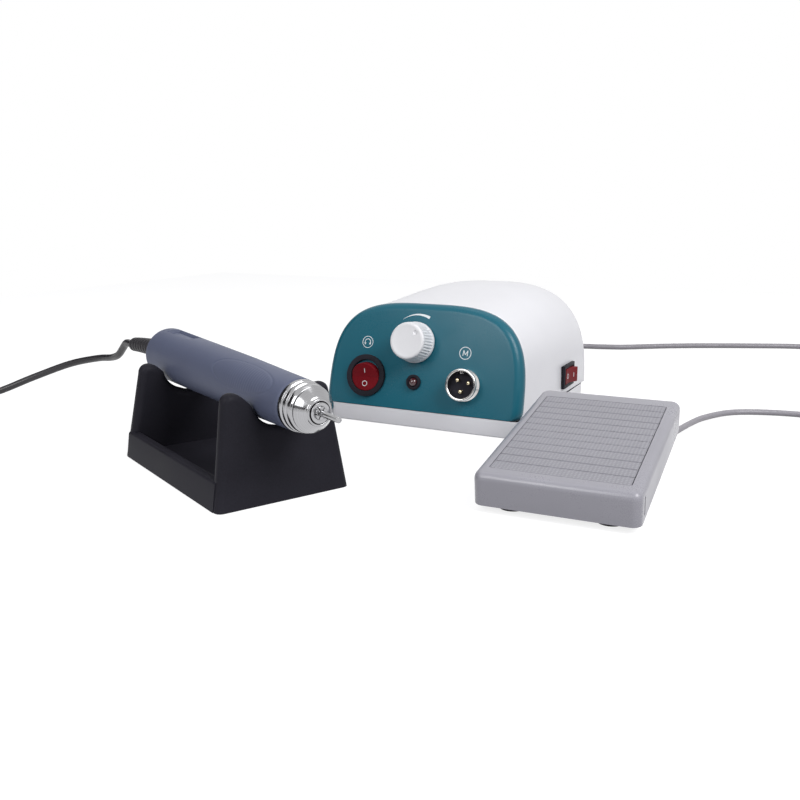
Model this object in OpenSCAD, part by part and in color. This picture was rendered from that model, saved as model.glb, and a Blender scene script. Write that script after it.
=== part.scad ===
// Dental micromotor set: control unit, motor handpiece on its rest, foot pedal and their three cords.
// Millimetres, Z up. The origin is the middle of the control unit's underside, its front faces -Y.

/* [Control unit] */
// Width of the control unit
unit_w = 120.4; // [100:0.2:150]
// Depth of the control unit
unit_d = 123.8; // [100:0.2:160]
// Height of the white base strip
base_h = 9.6; // [6:0.1:16]
// Height of the arched cover
cover_top = 70.6; // [55:0.1:90]
// Wall thickness of the moulded cover and base
wall = 2.4; // [1.6:0.1:4]
// Roundness of the arch, 2 is an ellipse
arch_power = 2.8; // [2:0.05:4]
// Lean of the front panel
lean = 13; // [5:0.5:20]
// Depth of the front panel
panel_t = 9; // [6:0.5:12]
// Thickness of the panel's face
face_t = 3; // [2:0.1:4]
// Rounding of the panel's front edge
panel_round = 5; // [1:0.5:6]
// Inset of the panel from the cover's outline
panel_inset = 0.6; // [0.2:0.1:2]

/* [Speed control] */
// Sideways place of the speed knob
knob_x = -5.6; // [-20:0.1:20]
// Height of the speed knob up the panel
knob_s = 37.8; // [28:0.1:42]
// Radius of the knob at the panel
knob_r = 12.1; // [9:0.1:14]
// Radius of the knob at its face
knob_face_r = 9.4; // [7:0.1:12]
// Height of the knob
knob_h = 13.4; // [10:0.1:18]
// Radius of the control shaft
pot_shaft_r = 3; // [2:0.1:4]

/* [Direction switch] */
// Sideways place of the round switch
dir_x = -34.7; // [-40:0.1:-28]
// Height of the round switch up the panel
dir_s = 17.1; // [14:0.1:24]
// Radius of its bezel
dir_bezel_r = 11.9; // [10:0.1:13]
// Radius of its red rocker
dir_rocker_r = 7.6; // [6:0.1:8]
// Swing of both rockers
rocker_swing = 24; // [16:1:28]

/* [Lamp and socket] */
// Sideways place of the lamp
lamp_x = -4.7; // [-12:0.1:4]
// Height of the lamp up the panel
lamp_s = 15.8; // [10:0.1:20]
// Radius of the lamp's bezel
lamp_r = 4.2; // [3:0.1:6]
// Sideways place of the handpiece socket
socket_x = 25.6; // [20:0.1:34]
// Height of the handpiece socket up the panel
socket_s = 16.8; // [14:0.1:24]
// Radius of the socket's collar
socket_r = 8.75; // [7:0.05:10]
// Height of the socket's collar
socket_h = 7; // [4:0.1:10]

/* [Power switch] */
// Place of the power switch along the depth
power_y = 21.8; // [0:0.1:36]
// Height of the power switch
power_z = 20.7; // [18:0.1:30]
// Length of its bezel
power_l = 21.5; // [18:0.1:24]
// Height of its bezel
power_h = 13.9; // [11:0.1:16]

/* [Rest] */
// Sideways place of the rest
rest_x = -46.8; // [-80:0.1:-20]
// Place of the rest in front of the unit
rest_y = -169.8; // [-220:0.1:-150]
// Turn of the rest
rest_turn = 62.7; // [0:0.1:90]
// Width of the rest at the table
rest_w = 60.9; // [50:0.1:75]
// Length of the rest at the table
rest_l = 107.5; // [90:0.1:130]
// Height of its horns
rest_h = 46.5; // [40:0.1:56]
// Thickness of its end walls
rest_t = 7; // [4:0.1:10]
// Height of its side sills
sill_h = 12.5; // [6:0.1:18]

/* [Handpiece] */
// Height of the handpiece's axis at the tail
tail_z = 46; // [42:0.1:52]
// Length of the grip sleeve
grip_l = 137; // [120:0.5:150]
// Radius of the grip at the tail
tail_r = 13.2; // [11:0.1:14]
// Radius of the grip two thirds along
waist_r = 12; // [10.5:0.1:13]
// Radius of the grip at the nose
front_r = 10.7; // [10.2:0.1:11.5]
// Radius of the tool shank
shank_r = 1.175; // [1.15:0.005:1.6]
// Length of the tool past the grip
tool_l = 28.5; // [22:0.5:45]

/* [Pedal] */
// Sideways place of the pedal
pedal_x = 107.5; // [90:0.1:130]
// Place of the pedal in front of the unit
pedal_y = -119.4; // [-170:0.1:-118]
// Turn of the pedal
pedal_turn = 1.7; // [-10:0.1:10]
// Width of the pedal
pedal_w = 64.5; // [58:0.5:80]
// Length of the pedal
pedal_l = 103.4; // [95:0.1:120]
// Depth of the treadle's skirt
treadle_h = 13.1; // [12:0.1:16]
// Rise of the treadle at rest
treadle_rise = 7.8; // [6:0.1:9]

/* [Cords] */
// Diameter of the handpiece cord
hand_cord_d = 4.2; // [3:0.1:5]
// Diameter of the mains lead
mains_cord_d = 4.2; // [3.5:0.1:4.5]
// Diameter of the pedal cable
pedal_cord_d = 3.4; // [3:0.1:3.6]

/* [Fits] */
// Running clearance of turning pieces on a radius
run = 0.1; // [0.05:0.01:0.1]
// Gap between pieces that move past each other
gap = 0.3; // [0.25:0.01:0.4]

/* [Hidden] */
$fn = 64;
half_w = unit_w / 2;
half_d = unit_d / 2;
arch_h = cover_top - base_h;
arch_steps = 56;
panel_a = half_w - panel_inset;
panel_b = arch_h / cos(lean) - 2 * panel_inset;
rock = rocker_swing / 2;
// Round switch: the rocker turns on an axis below the panel's face
dir_pivot = -2;
dir_bore_r = dir_rocker_r + 1.4;
dir_body_r = dir_bore_r + 1;
// Control: the body sits behind the face, its bushing comes through
bush_r = pot_shaft_r + 0.5 + run;
// Socket: one tube through the face, an insulator and three contacts in it
socket_bore = socket_r - 1.35;
socket_neck = socket_r - 0.75;
contact_r = 1;
contact_ring = 3.75;
socket_floor = 2;
// Power switch on the right wall
power_seat = half_w - 0.8;
power_front = power_seat + 1.9;
power_pivot = power_seat - 1;
power_half = power_l / 2 - 3;
// Inside the case: the board stands behind the panel, the transformer in front of the rear fittings
board_y = -half_d + 25.9;
board_l = unit_d - 73.8;
core_y = half_d - 37.9;
pad_x = half_w - 16.2;
pad_y = half_d - 15.9;
// Rear fittings
fit_z = 22;
gland_x = 25;
gland_l = 24;
gland_y = half_d + gland_l;
jack_x = -6;
fuse_x = -34;
fuse_stem_r = 3;
// Rest
horn_r = 4.2;
horn_x = rest_w / 2 - 5.45 - horn_r;
wall_lean = 4.7;
// Handpiece: its own axis runs from the tail to the nose
tail_y = grip_l / 2 + 1;
nod = 1;
bore_r = front_r - 2.1;
tube_r = bore_r - 1;
ring_z = grip_l + gap;
ring_l = 9;
cone_z = ring_z + ring_l + gap;
nose_z = grip_l + 15;
// Where the nose's seat begins inside the grip
nose_from = grip_l - 17;
quill_r = 4.2;
nose_bore = quill_r + gap + run;
core_r = 7;
boot_r = 3.9;
boot_l = 50;
// Pedal: the treadle turns on a pin near its front end
pin_r = 1.5;
pin_y = -pedal_l / 2 + 6.5;
pin_z = 9.5;
skirt_z = 4.6;
treadle_top = skirt_z + treadle_h;
treadle_t = 3;
ceiling = treadle_top - treadle_t;
base_z = 2.6;
base_t = 3;
deck = base_z + base_t;
base_w = pedal_w - 2 * treadle_t - 4.5;
base_l = pedal_l - 2 * treadle_t - 3.4;
plunger_y = pin_y + 23.2;
spring_y = pin_y + 70;
spring_r = 5;
wire_r = 0.6;
pedal_gland_l = 10;
// Cords
coil_gap = 0.45;
// The coil of the handpiece cord turns left, the others lie right of the view
hand_coil_at = [-300, -176, 0];
mains_coil_at = [240, 364, 0];
pedal_coil_at = [240, 90, 0];
nut_r = socket_r + 1.35;
hand_plug_z = nut_r + 0.1;
mains_plug_z = 6.8;
pedal_plug_z = 6.1;

function unit(v) = v / norm(v);
function signed(x, k) = x < 0 ? -pow(-x, k) : pow(x, k);
// Arch outline: a rounded half outline on a flat bottom
function arch(a, b) = [for (i = [0:arch_steps]) let (t = 180 * i / arch_steps)
  [a * signed(cos(t), 2 / arch_power), b * pow(abs(sin(t)), 2 / arch_power)]];
// Swept tubes
function ring_at(c, t, r, n) = let (s = unit(cross(t, [0, 0, 1])), u = cross(s, t))
  [for (i = [0:n - 1]) c + r * (cos(360 * i / n) * s + sin(360 * i / n) * u)];
function along(p, i) = unit(p[min(i + 1, len(p) - 1)] - p[max(i - 1, 0)]);
function mix(a, b, c, d, t) = 0.5 * (2 * b + (c - a) * t + (2 * a - 5 * b + 4 * c - d) * t * t
  + (3 * b - a - 3 * c + d) * t * t * t);
function smooth(p, k) = concat([for (i = [0:len(p) - 2], j = [0:k - 1])
  mix(p[max(i - 1, 0)], p[i], p[i + 1], p[min(i + 2, len(p) - 1)], j / k)], [p[len(p) - 1]]);
function turn_z(v, a) = [v[0] * cos(a) - v[1] * sin(a), v[0] * sin(a) + v[1] * cos(a), v[2]];
function ease(t) = (1 - cos(180 * t)) / 2;
// Coil: in on the lower layer, half a turn up, out on the upper layer, then up to the plug's height
function coil_r(a, d, n, ro) = a < 360 * n ? ro - (d + coil_gap) * a / 360
  : a < 360 * n + 180 ? ro - (d + coil_gap) * n : ro - (d + coil_gap) * (2 * n - (a - 180) / 360);
function coil_z(a, d, n, ze) = let (z1 = d / 2, z2 = 1.5 * d + coil_gap, end = 720 * n + 180)
  a < 360 * n ? z1 : a < 360 * n + 180 ? z1 + (z2 - z1) * ease((a - 360 * n) / 180)
  : a < end - 90 ? z2 : z2 + (ze - z2) * ease((a - end + 90) / 90);
function coil_turns(d, n, ro, ze, from, way) = [for (i = [0:48 * n + 12]) let (a = 15 * i,
  r = coil_r(a, d, n, ro), t = from + way * a)
  [r * cos(t), r * sin(t), coil_z(a, d, n, ze)]];
function settle(p, r) = [for (q = p) [q[0], q[1], max(q[2], r)]];
function flat(v) = unit([v[0], v[1], 0]);
function coil_path(at, d, n, ro, ze, from, way) =
  let (c = coil_turns(d, n, ro, ze, from, way), m = len(c) - 1)
  [for (q = concat([c[0] - d * flat(c[1] - c[0])], c, [c[m] + d * flat(c[m] - c[m - 1])])) at + q];
function least_gap(p, d, skip) = min([for (i = [0:len(p) - 1]) for (j = [i + skip:1:len(p) - 1])
  norm(p[i] - p[j])]) - d;
function rest_point(p) = [rest_x, rest_y, 0] + turn_z(p, rest_turn);
function pedal_point(p) = [pedal_x, pedal_y, 0] + turn_z(p, pedal_turn);

hand_turns = coil_path(hand_coil_at, hand_cord_d, 3.5, 33, hand_plug_z, 90, 1);
mains_turns = coil_path(mains_coil_at, mains_cord_d, 3.75, 34, mains_plug_z, 270, 1);
pedal_turns = coil_path(pedal_coil_at, pedal_cord_d, 3.75, 30, pedal_plug_z, 270, 1);
echo("least coil gaps", least_gap(hand_turns, hand_cord_d, 8), least_gap(mains_turns, mains_cord_d, 8),
  least_gap(pedal_turns, pedal_cord_d, 8));
hand_exit = rest_point([0, tail_y + boot_l * cos(nod), tail_z + boot_l * sin(nod)]);
hand_way = turn_z([0, cos(nod), sin(nod)], rest_turn);
hand_route = settle(smooth(concat([hand_exit, hand_exit + 6 * hand_way], [[-165, -109, 43], [-171, -106, 39],
  [-178, -103, 34], [-188, -99, 31], [-202, -96, 29], [-224, -98, 24], [-247, -107, 15], [-266, -122, 6]],
  [hand_turns[0] - 12 * along(hand_turns, 0), hand_turns[0]]), 2), hand_cord_d / 2);
mains_exit = [gland_x, gland_y, fit_z];
mains_route = settle(smooth(concat([mains_exit, mains_exit + [0, 8, -0.5]], [[24, 115, 13], [19, 142, 4],
  [11, 172, 2.1], [3, 200, 2.1], [1, 225, 2.1], [9, 244, 2.1], [26, 250, 2.1], [43, 256, 2.1],
  [60, 268, 2.1], [79, 281, 2.1], [102, 294, 2.1], [140, 312, 2.1], [180, 327, 2.1]],
  [mains_turns[0] - 16 * along(mains_turns, 0), mains_turns[0]]), 2), mains_cord_d / 2);
pedal_exit = pedal_point([14, base_l / 2 + pedal_gland_l, 2.1]);
pedal_way = turn_z([0, 1, 0], pedal_turn);
pedal_route = settle(smooth(concat([pedal_exit, pedal_exit + 8 * pedal_way], [[124, -36, 1.7],
  [129, -17, 1.7], [134, 8, 1.7], [140, 28, 1.7], [153, 48, 1.7], [176, 58, 1.7], [204, 60, 1.7]],
  [pedal_turns[0] - 16 * along(pedal_turns, 0), pedal_turns[0]]), 2), pedal_cord_d / 2);

module tube(p, r, n, t0, t1) {
  m = len(p);
  pts = [for (i = [0:m - 1]) each ring_at(p[i], i == 0 ? t0 : i == m - 1 ? t1 : along(p, i), r, n)];
  sides = [for (i = [0:m - 2], j = [0:n - 1]) let (k = (j + 1) % n)
    each [[i * n + j, i * n + k, (i + 1) * n + k], [i * n + j, (i + 1) * n + k, (i + 1) * n + j]]];
  polyhedron(pts, concat([[for (j = [0:n - 1]) n - 1 - j]], [[for (j = [0:n - 1]) (m - 1) * n + j]], sides));
}
module on_panel(x, s) {
  translate([0, -half_d, base_h]) rotate([90 - lean, 0, 0]) translate([x, s, 0]) children();
}
module on_rear(x, z, y = 0) {
  translate([x, half_d + y, z]) rotate([-90, 0, 0]) children();
}
module on_rest() {
  translate([rest_x, rest_y, 0]) rotate([0, 0, rest_turn]) children();
}
module on_hand() {
  on_rest() translate([0, tail_y, tail_z]) rotate([90 + nod, 0, 0]) children();
}
module on_pedal() {
  translate([pedal_x, pedal_y, 0]) rotate([0, 0, pedal_turn]) children();
}
module on_treadle() {
  on_pedal() translate([0, pin_y, pin_z]) rotate([treadle_rise, 0, 0])
    translate([0, -pin_y, -pin_z]) children();
}
module pipe(ro, ri, l) {
  difference() {
    cylinder(r = ro, h = l);
    translate([0, 0, -1]) cylinder(r = ri, h = l + 2);
  }
}
module block(w, l, h, r) {
  linear_extrude(h) union() {
    square([w - 2 * r, l], center = true);
    square([w, l - 2 * r], center = true);
    for (x = [-1, 1], y = [-1, 1]) translate([x * (w / 2 - r), y * (l / 2 - r)]) circle(r);
  }
}
module arch_bar(a, b, l) {
  translate([0, half_d, base_h]) rotate([90, 0, 0]) linear_extrude(l) polygon(arch(a, b));
}

module unit_base() color([0.93, 0.93, 0.95]) difference() {
  union() {
    difference() {
      block(unit_w, unit_d, base_h, 8);
      translate([0, 0, wall]) block(unit_w - 2 * wall, unit_d - 2 * wall, base_h, 8 - wall);
    }
    for (x = [-38, 38], y = [6, board_l - 4]) translate([x, board_y + y, wall - 0.5])
      cylinder(r = 3.2, h = 4.1);
  }
  for (x = [-pad_x, pad_x], y = [-pad_y, pad_y]) translate([x, y, -1]) cylinder(r = 6, h = 2);
}
module unit_pads() color([0.1, 0.1, 0.1]) {
  for (x = [-pad_x, pad_x], y = [-pad_y, pad_y]) translate([x, y, 0]) cylinder(r = 6, h = 1);
}
module unit_cover() color([0.95, 0.95, 0.97]) difference() {
  arch_bar(half_w, arch_h, unit_d + 10);
  translate([0, 1, 0]) arch_bar(half_w - wall, arch_h - wall, unit_d + 14);
  on_panel(0, 0) translate([-100, -20, -panel_t]) cube([200, 120, 60]);
  translate([power_seat, power_y - power_l / 2 - 0.1, power_z - power_h / 2 - 0.1])
    cube([5, power_l + 0.2, power_h + 0.2]);
  translate([half_w - 8, power_y - power_l / 2 + 1.1, power_z - power_h / 2 + 0.6])
    cube([20, power_l - 2.2, power_h - 1.2]);
}
module front_panel() color([0.06, 0.4, 0.45]) difference() {
  on_panel(0, 0) hull() for (k = [0:3])
    let (q = panel_round * (1 - cos(30 * k)), d = panel_round * (1 - sin(30 * k)))
    translate([0, 0, -panel_t]) linear_extrude(panel_t - d) polygon(arch(panel_a - q, panel_b - q));
  translate([-100, -100, base_h - 20]) cube([200, 120, 20]);
  on_panel(0, 2) translate([0, 0, -panel_t - 1]) linear_extrude(panel_t + 1 - face_t)
    polygon(arch(panel_a - 6, panel_b - 8));
  on_panel(knob_x, knob_s) translate([0, 0, -face_t - 1]) cylinder(r = bush_r + 0.1, h = face_t + 2);
  on_panel(dir_x, dir_s) translate([0, 0, -face_t - 1]) cylinder(r = dir_body_r + 0.1, h = face_t + 2);
  on_panel(lamp_x, lamp_s) translate([0, 0, -face_t - 1]) cylinder(r = lamp_r - 1.1, h = face_t + 2);
  on_panel(socket_x, socket_s) translate([0, 0, -face_t - 1]) cylinder(r = socket_neck + 0.1, h = face_t + 2);
}
module rear_panel() color([0.9, 0.9, 0.92]) difference() {
  translate([0, half_d, base_h]) rotate([90, 0, 0]) linear_extrude(wall)
    polygon(arch(half_w - wall, arch_h - wall));
  on_rear(gland_x, fit_z, -wall - 1) cylinder(r = 4, h = wall + 2);
  on_rear(jack_x, fit_z, -wall - 1) cylinder(r = 4.6, h = wall + 2);
  on_rear(fuse_x, fit_z, -wall - 1) cylinder(r = 6, h = wall + 2);
}
module speed_knob() color([0.94, 0.94, 0.95]) on_panel(knob_x, knob_s) difference() {
  translate([0, 0, 2 * gap]) rotate_extrude() polygon([[0, 0], [knob_r - 0.6, 0], [knob_r, 0.6], [knob_r, 2],
    [knob_face_r + 0.9, knob_h - 1.2], [knob_face_r, knob_h - 0.4], [0, knob_h - 0.4]]);
  translate([0, 0, -1]) cylinder(r = bush_r + 2 * gap, h = 6.4);
  cylinder(r = pot_shaft_r, h = knob_h - 2.4);
  rotate([0, 0, 45]) translate([knob_face_r - 2.4, 0, knob_h - 0.6]) cylinder(r = 1, h = 2);
}
module pot_shaft() color([0.75, 0.75, 0.78]) on_panel(knob_x, knob_s) {
  translate([0, 0, -8.5]) cylinder(r = pot_shaft_r, h = knob_h + 6.1);
}
module potentiometer() color([0.55, 0.56, 0.6]) on_panel(knob_x, knob_s) difference() {
  union() {
    translate([0, 0, -face_t - 9]) cylinder(r = 8.2, h = 9);
    translate([0, 0, -face_t]) cylinder(r = bush_r, h = face_t + 4);
    for (x = [-5, 0, 5]) translate([x - 0.6, -13, -face_t - 5]) cube([1.2, 6, 0.8]);
  }
  translate([0, 0, -face_t - 6.5]) cylinder(r = pot_shaft_r + run, h = 20);
}
module direction_switch() color([0.06, 0.06, 0.07]) on_panel(dir_x, dir_s) difference() {
  union() {
    cylinder(r = dir_bezel_r, h = 1.9);
    translate([0, 0, -15]) cylinder(r = dir_body_r, h = 15.5);
    for (y = [-5, 0, 5]) translate([-2.4, y - 0.4, -22]) cube([4.8, 0.8, 7.5]);
  }
  translate([0, 0, -13]) cylinder(r = dir_bore_r, h = 20);
}
module rocker_bar(l, w, deep, rise) {
  translate([0, 0, -w / 2]) linear_extrude(w)
    polygon([[-l, -deep], [l, -deep], [l, rise + l * tan(rock)], [0, rise], [-l, rise + l * tan(rock)]]);
}
module direction_rocker() color([0.72, 0.06, 0.1]) on_panel(dir_x, dir_s) translate([0, 0, dir_pivot]) {
  rotate([rock, 0, 0]) intersection() {
    rotate([90, 0, 90]) rocker_bar(dir_rocker_r + 2, 2 * dir_rocker_r + 2, 4, 3.6);
    translate([0, 0, -10]) cylinder(r = dir_rocker_r, h = 24);
  }
}
module power_switch() color([0.06, 0.06, 0.07]) difference() {
  union() {
    translate([power_seat, power_y - power_l / 2, power_z - power_h / 2])
      cube([power_front - power_seat, power_l, power_h]);
    translate([power_seat - 15, power_y - power_l / 2 + 1.2, power_z - power_h / 2 + 0.7])
      cube([15.5, power_l - 2.4, power_h - 1.4]);
    for (y = [-5, 5]) translate([power_seat - 22, power_y + y - 0.4, power_z - 2.4]) cube([7.5, 0.8, 4.8]);
  }
  translate([power_seat - 13, power_y - power_half - 0.9, power_z - power_h / 2 + 2])
    cube([20, 2 * power_half + 1.8, power_h - 4]);
}
module power_rocker() color([0.72, 0.06, 0.1]) translate([power_pivot, power_y, power_z]) {
  rotate([0, 0, -rock - 90]) rocker_bar(power_half - 0.4, power_h - 4.8, 3.4, 3.2);
}
module lamp_bezel() color([0.06, 0.06, 0.07]) on_panel(lamp_x, lamp_s) difference() {
  union() {
    cylinder(r = lamp_r, h = 1.8);
    translate([0, 0, -9]) cylinder(r = lamp_r - 1.2, h = 9.5);
  }
  translate([0, 0, -10]) cylinder(r = lamp_r - 1.7, h = 20);
}
module lamp_lens() color([0.4, 0.03, 0.05]) on_panel(lamp_x, lamp_s) {
  translate([0, 0, -8]) cylinder(r = lamp_r - 1.7, h = 9);
  translate([0, 0, 1]) intersection() {
    sphere(r = lamp_r - 1.7);
    cylinder(r = lamp_r, h = lamp_r);
  }
}
module socket_shell() color([0.8, 0.8, 0.82]) on_panel(socket_x, socket_s) {
  difference() {
    union() {
      cylinder(r = socket_r, h = socket_h);
      translate([0, 0, -9]) cylinder(r = socket_neck, h = 9.5);
    }
    translate([0, 0, -10]) cylinder(r = socket_bore, h = 30);
  }
  intersection() {
    translate([-1, socket_bore - 1.3, socket_floor + 0.6]) cube([2, 2, socket_h - socket_floor - 1.2]);
    cylinder(r = socket_bore + 0.5, h = 20);
  }
}
module contacts(r, l, z) {
  for (a = [20, 140, 260]) rotate([0, 0, a]) translate([contact_ring, 0, z]) cylinder(r = r, h = l, $fn = 32);
}
module socket_insert() color([0.05, 0.05, 0.06]) on_panel(socket_x, socket_s) difference() {
  translate([0, 0, -9]) cylinder(r = socket_bore, h = 9 + socket_floor);
  contacts(contact_r, 20, -10);
}
module socket_pins() color([0.8, 0.75, 0.55]) on_panel(socket_x, socket_s) {
  contacts(contact_r, socket_h + 10, -12);
}
module socket_nut() color([0.7, 0.7, 0.72]) on_panel(socket_x, socket_s) difference() {
  translate([0, 0, -face_t - 3]) cylinder(r = socket_neck + 3.2, h = 3, $fn = 6);
  translate([0, 0, -20]) cylinder(r = socket_neck, h = 40);
}
module transformer_core() color([0.3, 0.3, 0.32]) translate([16, core_y, wall]) difference() {
  translate([-21, -9, 0]) cube([42, 18, 36]);
  for (x = [-15, 7]) translate([x, -10, 6]) cube([8, 20, 24]);
}
module transformer_coil() color([0.72, 0.4, 0.12]) translate([16, core_y, wall]) difference() {
  translate([-14.6, -16, 6.3]) cube([29.2, 32, 23.4]);
  translate([-7, -9, 0]) cube([14, 18, 40]);
}
module circuit_board() color([0.05, 0.35, 0.15]) translate([-45, board_y, wall + 3.6])
  cube([90, board_l, 1.6]);
module board_parts() color([0.2, 0.2, 0.22]) translate([0, board_y, wall + 5.2]) {
  translate([-24, 14, 0]) cylinder(r = 5, h = 9);
  translate([-10, 14, 0]) cylinder(r = 4, h = 8);
  translate([8, board_l - 26, 0]) cube([26, 2.5, 16]);
  for (x = [8:5:33]) translate([x, board_l - 23.7, 0]) cube([1.2, 9, 16]);
  translate([8, board_l - 23.7, 0]) cube([26, 1, 16]);
  translate([-4, 4, 0]) cube([10, 7, 3]);
  translate([-40, board_l - 16, 0]) cube([12, 10, 9]);
}
module mains_gland() color([0.45, 0.45, 0.48]) on_rear(gland_x, fit_z) difference() {
  union() {
    cylinder(r = 6, h = 2.5);
    rotate_extrude() polygon([[0, 2], [4.6, 2], [mains_cord_d / 2 + 0.7, gland_l], [0, gland_l]]);
    translate([0, 0, -wall - 3]) cylinder(r = 4, h = wall + 3.5);
    translate([0, 0, -wall - 3]) cylinder(r = 5.5, h = 3);
  }
  translate([0, 0, -10]) cylinder(r = 1.6, h = 9);
}
module pedal_jack() color([0.15, 0.15, 0.16]) on_rear(jack_x, fit_z) difference() {
  union() {
    cylinder(r = 6.5, h = 3);
    translate([0, 0, -wall - 0.5]) cylinder(r = 4.6, h = wall + 1);
    translate([-7, -7, -28]) cube([14, 14, 28 - wall]);
  }
  translate([0, 0, -25]) cylinder(r = 3.2, h = 40);
}
module fuse_holder() color([0.08, 0.08, 0.09]) on_rear(fuse_x, fit_z) difference() {
  union() {
    cylinder(r = 8, h = 3);
    translate([0, 0, -26]) cylinder(r = 6, h = 26.5);
  }
  translate([0, 0, -24]) cylinder(r = fuse_stem_r + run, h = 40);
}
module fuse_cap() color([0.12, 0.12, 0.13]) on_rear(fuse_x, fit_z) difference() {
  union() {
    translate([0, 0, 3 + gap]) cylinder(r = 6, h = 6);
    translate([0, 0, -22]) cylinder(r = fuse_stem_r, h = 26);
  }
  translate([-0.6, -10, 8]) cube([1.2, 20, 3]);
}

function cradle(drop_z) = [for (i = [-16:16]) let (x = horn_x * i / 16)
  [x, drop_z + (rest_h - drop_z) * ease(abs(x) / horn_x)]];
function horn(side) = [for (i = [1:6])
  [side * (horn_x + horn_r * sin(15 * i)), rest_h - horn_r * (1 - cos(15 * i))]];
function wall_line(drop_z) = concat(cradle(drop_z), horn(1),
  [[rest_w / 2 + 0.4, -4], [-rest_w / 2 - 0.4, -4]],
  [for (i = [6:-1:1]) horn(-1)[i - 1]]);
module end_wall(drop_z) {
  translate([0, -rest_l / 2, 0]) rotate([90 - wall_lean, 0, 0]) translate([0, 0, -rest_t])
    linear_extrude(rest_t) polygon(wall_line(drop_z / cos(wall_lean)));
}
module stand() color([0.05, 0.05, 0.055]) on_rest() difference() {
  union() {
    end_wall(29.6);
    rotate([0, 0, 180]) end_wall(28.2);
    for (k = [0, 180]) rotate([0, 0, k]) rotate([90, 0, 0]) translate([0, 0, -rest_l / 2 + 4])
      linear_extrude(rest_l - 8) polygon([[rest_w / 2, 0], [rest_w / 2 - 1.7, sill_h],
        [rest_w / 2 - 6.2, sill_h], [rest_w / 2 - 6.2, 0]]);
    translate([-rest_w / 2 + 5, -rest_l / 2 + 4, 0]) cube([rest_w - 10, rest_l - 8, 3]);
  }
  translate([-100, -100, -20]) cube([200, 200, 20]);
}

module grip_sleeve() color([0.33, 0.38, 0.45]) on_hand() difference() {
  rotate_extrude() polygon(concat([[0, 0]],
    [for (i = [0:6]) [tail_r - 4 + 4 * sin(15 * i), 4 - 4 * cos(15 * i)]],
    [[waist_r, grip_l * 0.65], [front_r, grip_l], [0, grip_l]]));
  translate([0, 0, -1]) cylinder(r = bore_r, h = grip_l + 2);
  translate([-2.9, tail_r - 0.8, 9]) cube([5.8, 4, 28]);
}
module motor_housing() color([0.7, 0.7, 0.73]) on_hand() translate([0, 0, 8])
  pipe(bore_r, tube_r, grip_l - 9);
module rear_cap() color([0.12, 0.12, 0.13]) on_hand() translate([0, 0, 0.5]) pipe(bore_r, boot_r, 7.5);
module cable_boot() color([0.06, 0.06, 0.06]) on_hand() difference() {
  union() {
    translate([0, 0, -boot_l]) cylinder(r1 = boot_r, r2 = boot_r + 1.3, h = boot_l);
    cylinder(r = boot_r, h = 8);
  }
  translate([0, 0, 2]) cylinder(r = 1.5, h = 10);
}
module magnets() color([0.25, 0.25, 0.27]) on_hand() difference() {
  translate([0, 0, 52]) pipe(tube_r, tube_r - 1.4, 40);
  translate([-1.5, -20, 50]) cube([3, 40, 50]);
}
module brush_holders() color([0.6, 0.5, 0.25]) on_hand() for (k = [0, 180])
  rotate([0, 0, k]) intersection() {
  translate([3.5 + gap, -2, 36]) cube([6, 4, 5]);
  cylinder(r = tube_r, h = 80);
}
module front_bearing() color([0.8, 0.8, 0.82]) on_hand() translate([0, 0, nose_from - 10])
  pipe(tube_r, 2 + run, 6);
module rear_bearing() color([0.8, 0.8, 0.82]) on_hand() translate([0, 0, 20]) pipe(tube_r, 2 + run, 6);
module nose_cone() color([0.82, 0.82, 0.84]) on_hand() difference() {
  union() {
    translate([0, 0, nose_from]) cylinder(r = tube_r, h = 6);
    translate([0, 0, nose_from + 5]) cylinder(r = core_r, h = nose_z - nose_from - 7);
    rotate_extrude() polygon([[0, cone_z], [8.8, cone_z], [9.2, cone_z + 0.6], [6.2, nose_z - 1.4],
      [5.6, nose_z - 1], [5.4, nose_z], [0, nose_z]]);
  }
  translate([0, 0, nose_from - 10]) cylinder(r = nose_bore, h = 60);
}
module chuck_ring() color([0.84, 0.84, 0.86]) on_hand() translate([0, 0, ring_z]) difference() {
  rotate_extrude() polygon([[0, 0], [front_r - 0.1, 0], [front_r - 0.1, 2.2], [front_r - 0.9, 2.6],
    [front_r - 0.9, 3], [front_r - 0.4, 3.3], [front_r - 0.5, 5.1], [front_r - 1.3, 5.5],
    [front_r - 1.3, 5.9], [front_r - 0.8, 6.2], [front_r - 1, ring_l - 0.9], [front_r - 1.6, ring_l],
    [0, ring_l]]);
  translate([0, 0, -1]) cylinder(r = core_r + run, h = 20);
}
module spindle() color([0.75, 0.75, 0.78]) on_hand() {
  translate([0, 0, 14]) cylinder(r = 2, h = nose_from - 14);
  difference() {
    translate([0, 0, nose_from]) cylinder(r = quill_r, h = nose_z - nose_from + 0.4);
    translate([0, 0, nose_from + 6]) cylinder(r = 2.6, h = 60);
  }
}
module rotor() color([0.55, 0.35, 0.2]) on_hand() difference() {
  union() {
    translate([0, 0, 54]) cylinder(r = tube_r - 1.7, h = 36);
    translate([0, 0, 34]) cylinder(r = 3.5, h = 20.5);
  }
  translate([0, 0, 10]) cylinder(r = 2, h = 100);
  for (a = [0:60:300]) rotate([0, 0, a]) translate([3.8, -0.5, 53]) cube([10, 1, 40]);
}
module collet() color([0.7, 0.7, 0.72]) on_hand() difference() {
  translate([0, 0, nose_from + 6]) pipe(2.6, shank_r, nose_z - nose_from - 4.8);
  for (a = [0, 60, 120]) rotate([0, 0, a]) translate([-5, -0.2, nose_z - 12]) cube([10, 0.4, 20]);
}
module bur() color([0.78, 0.78, 0.8]) on_hand() {
  translate([0, 0, nose_from + 6]) cylinder(r = shank_r, h = grip_l + tool_l - nose_from - 6, $fn = 32);
}

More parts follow.
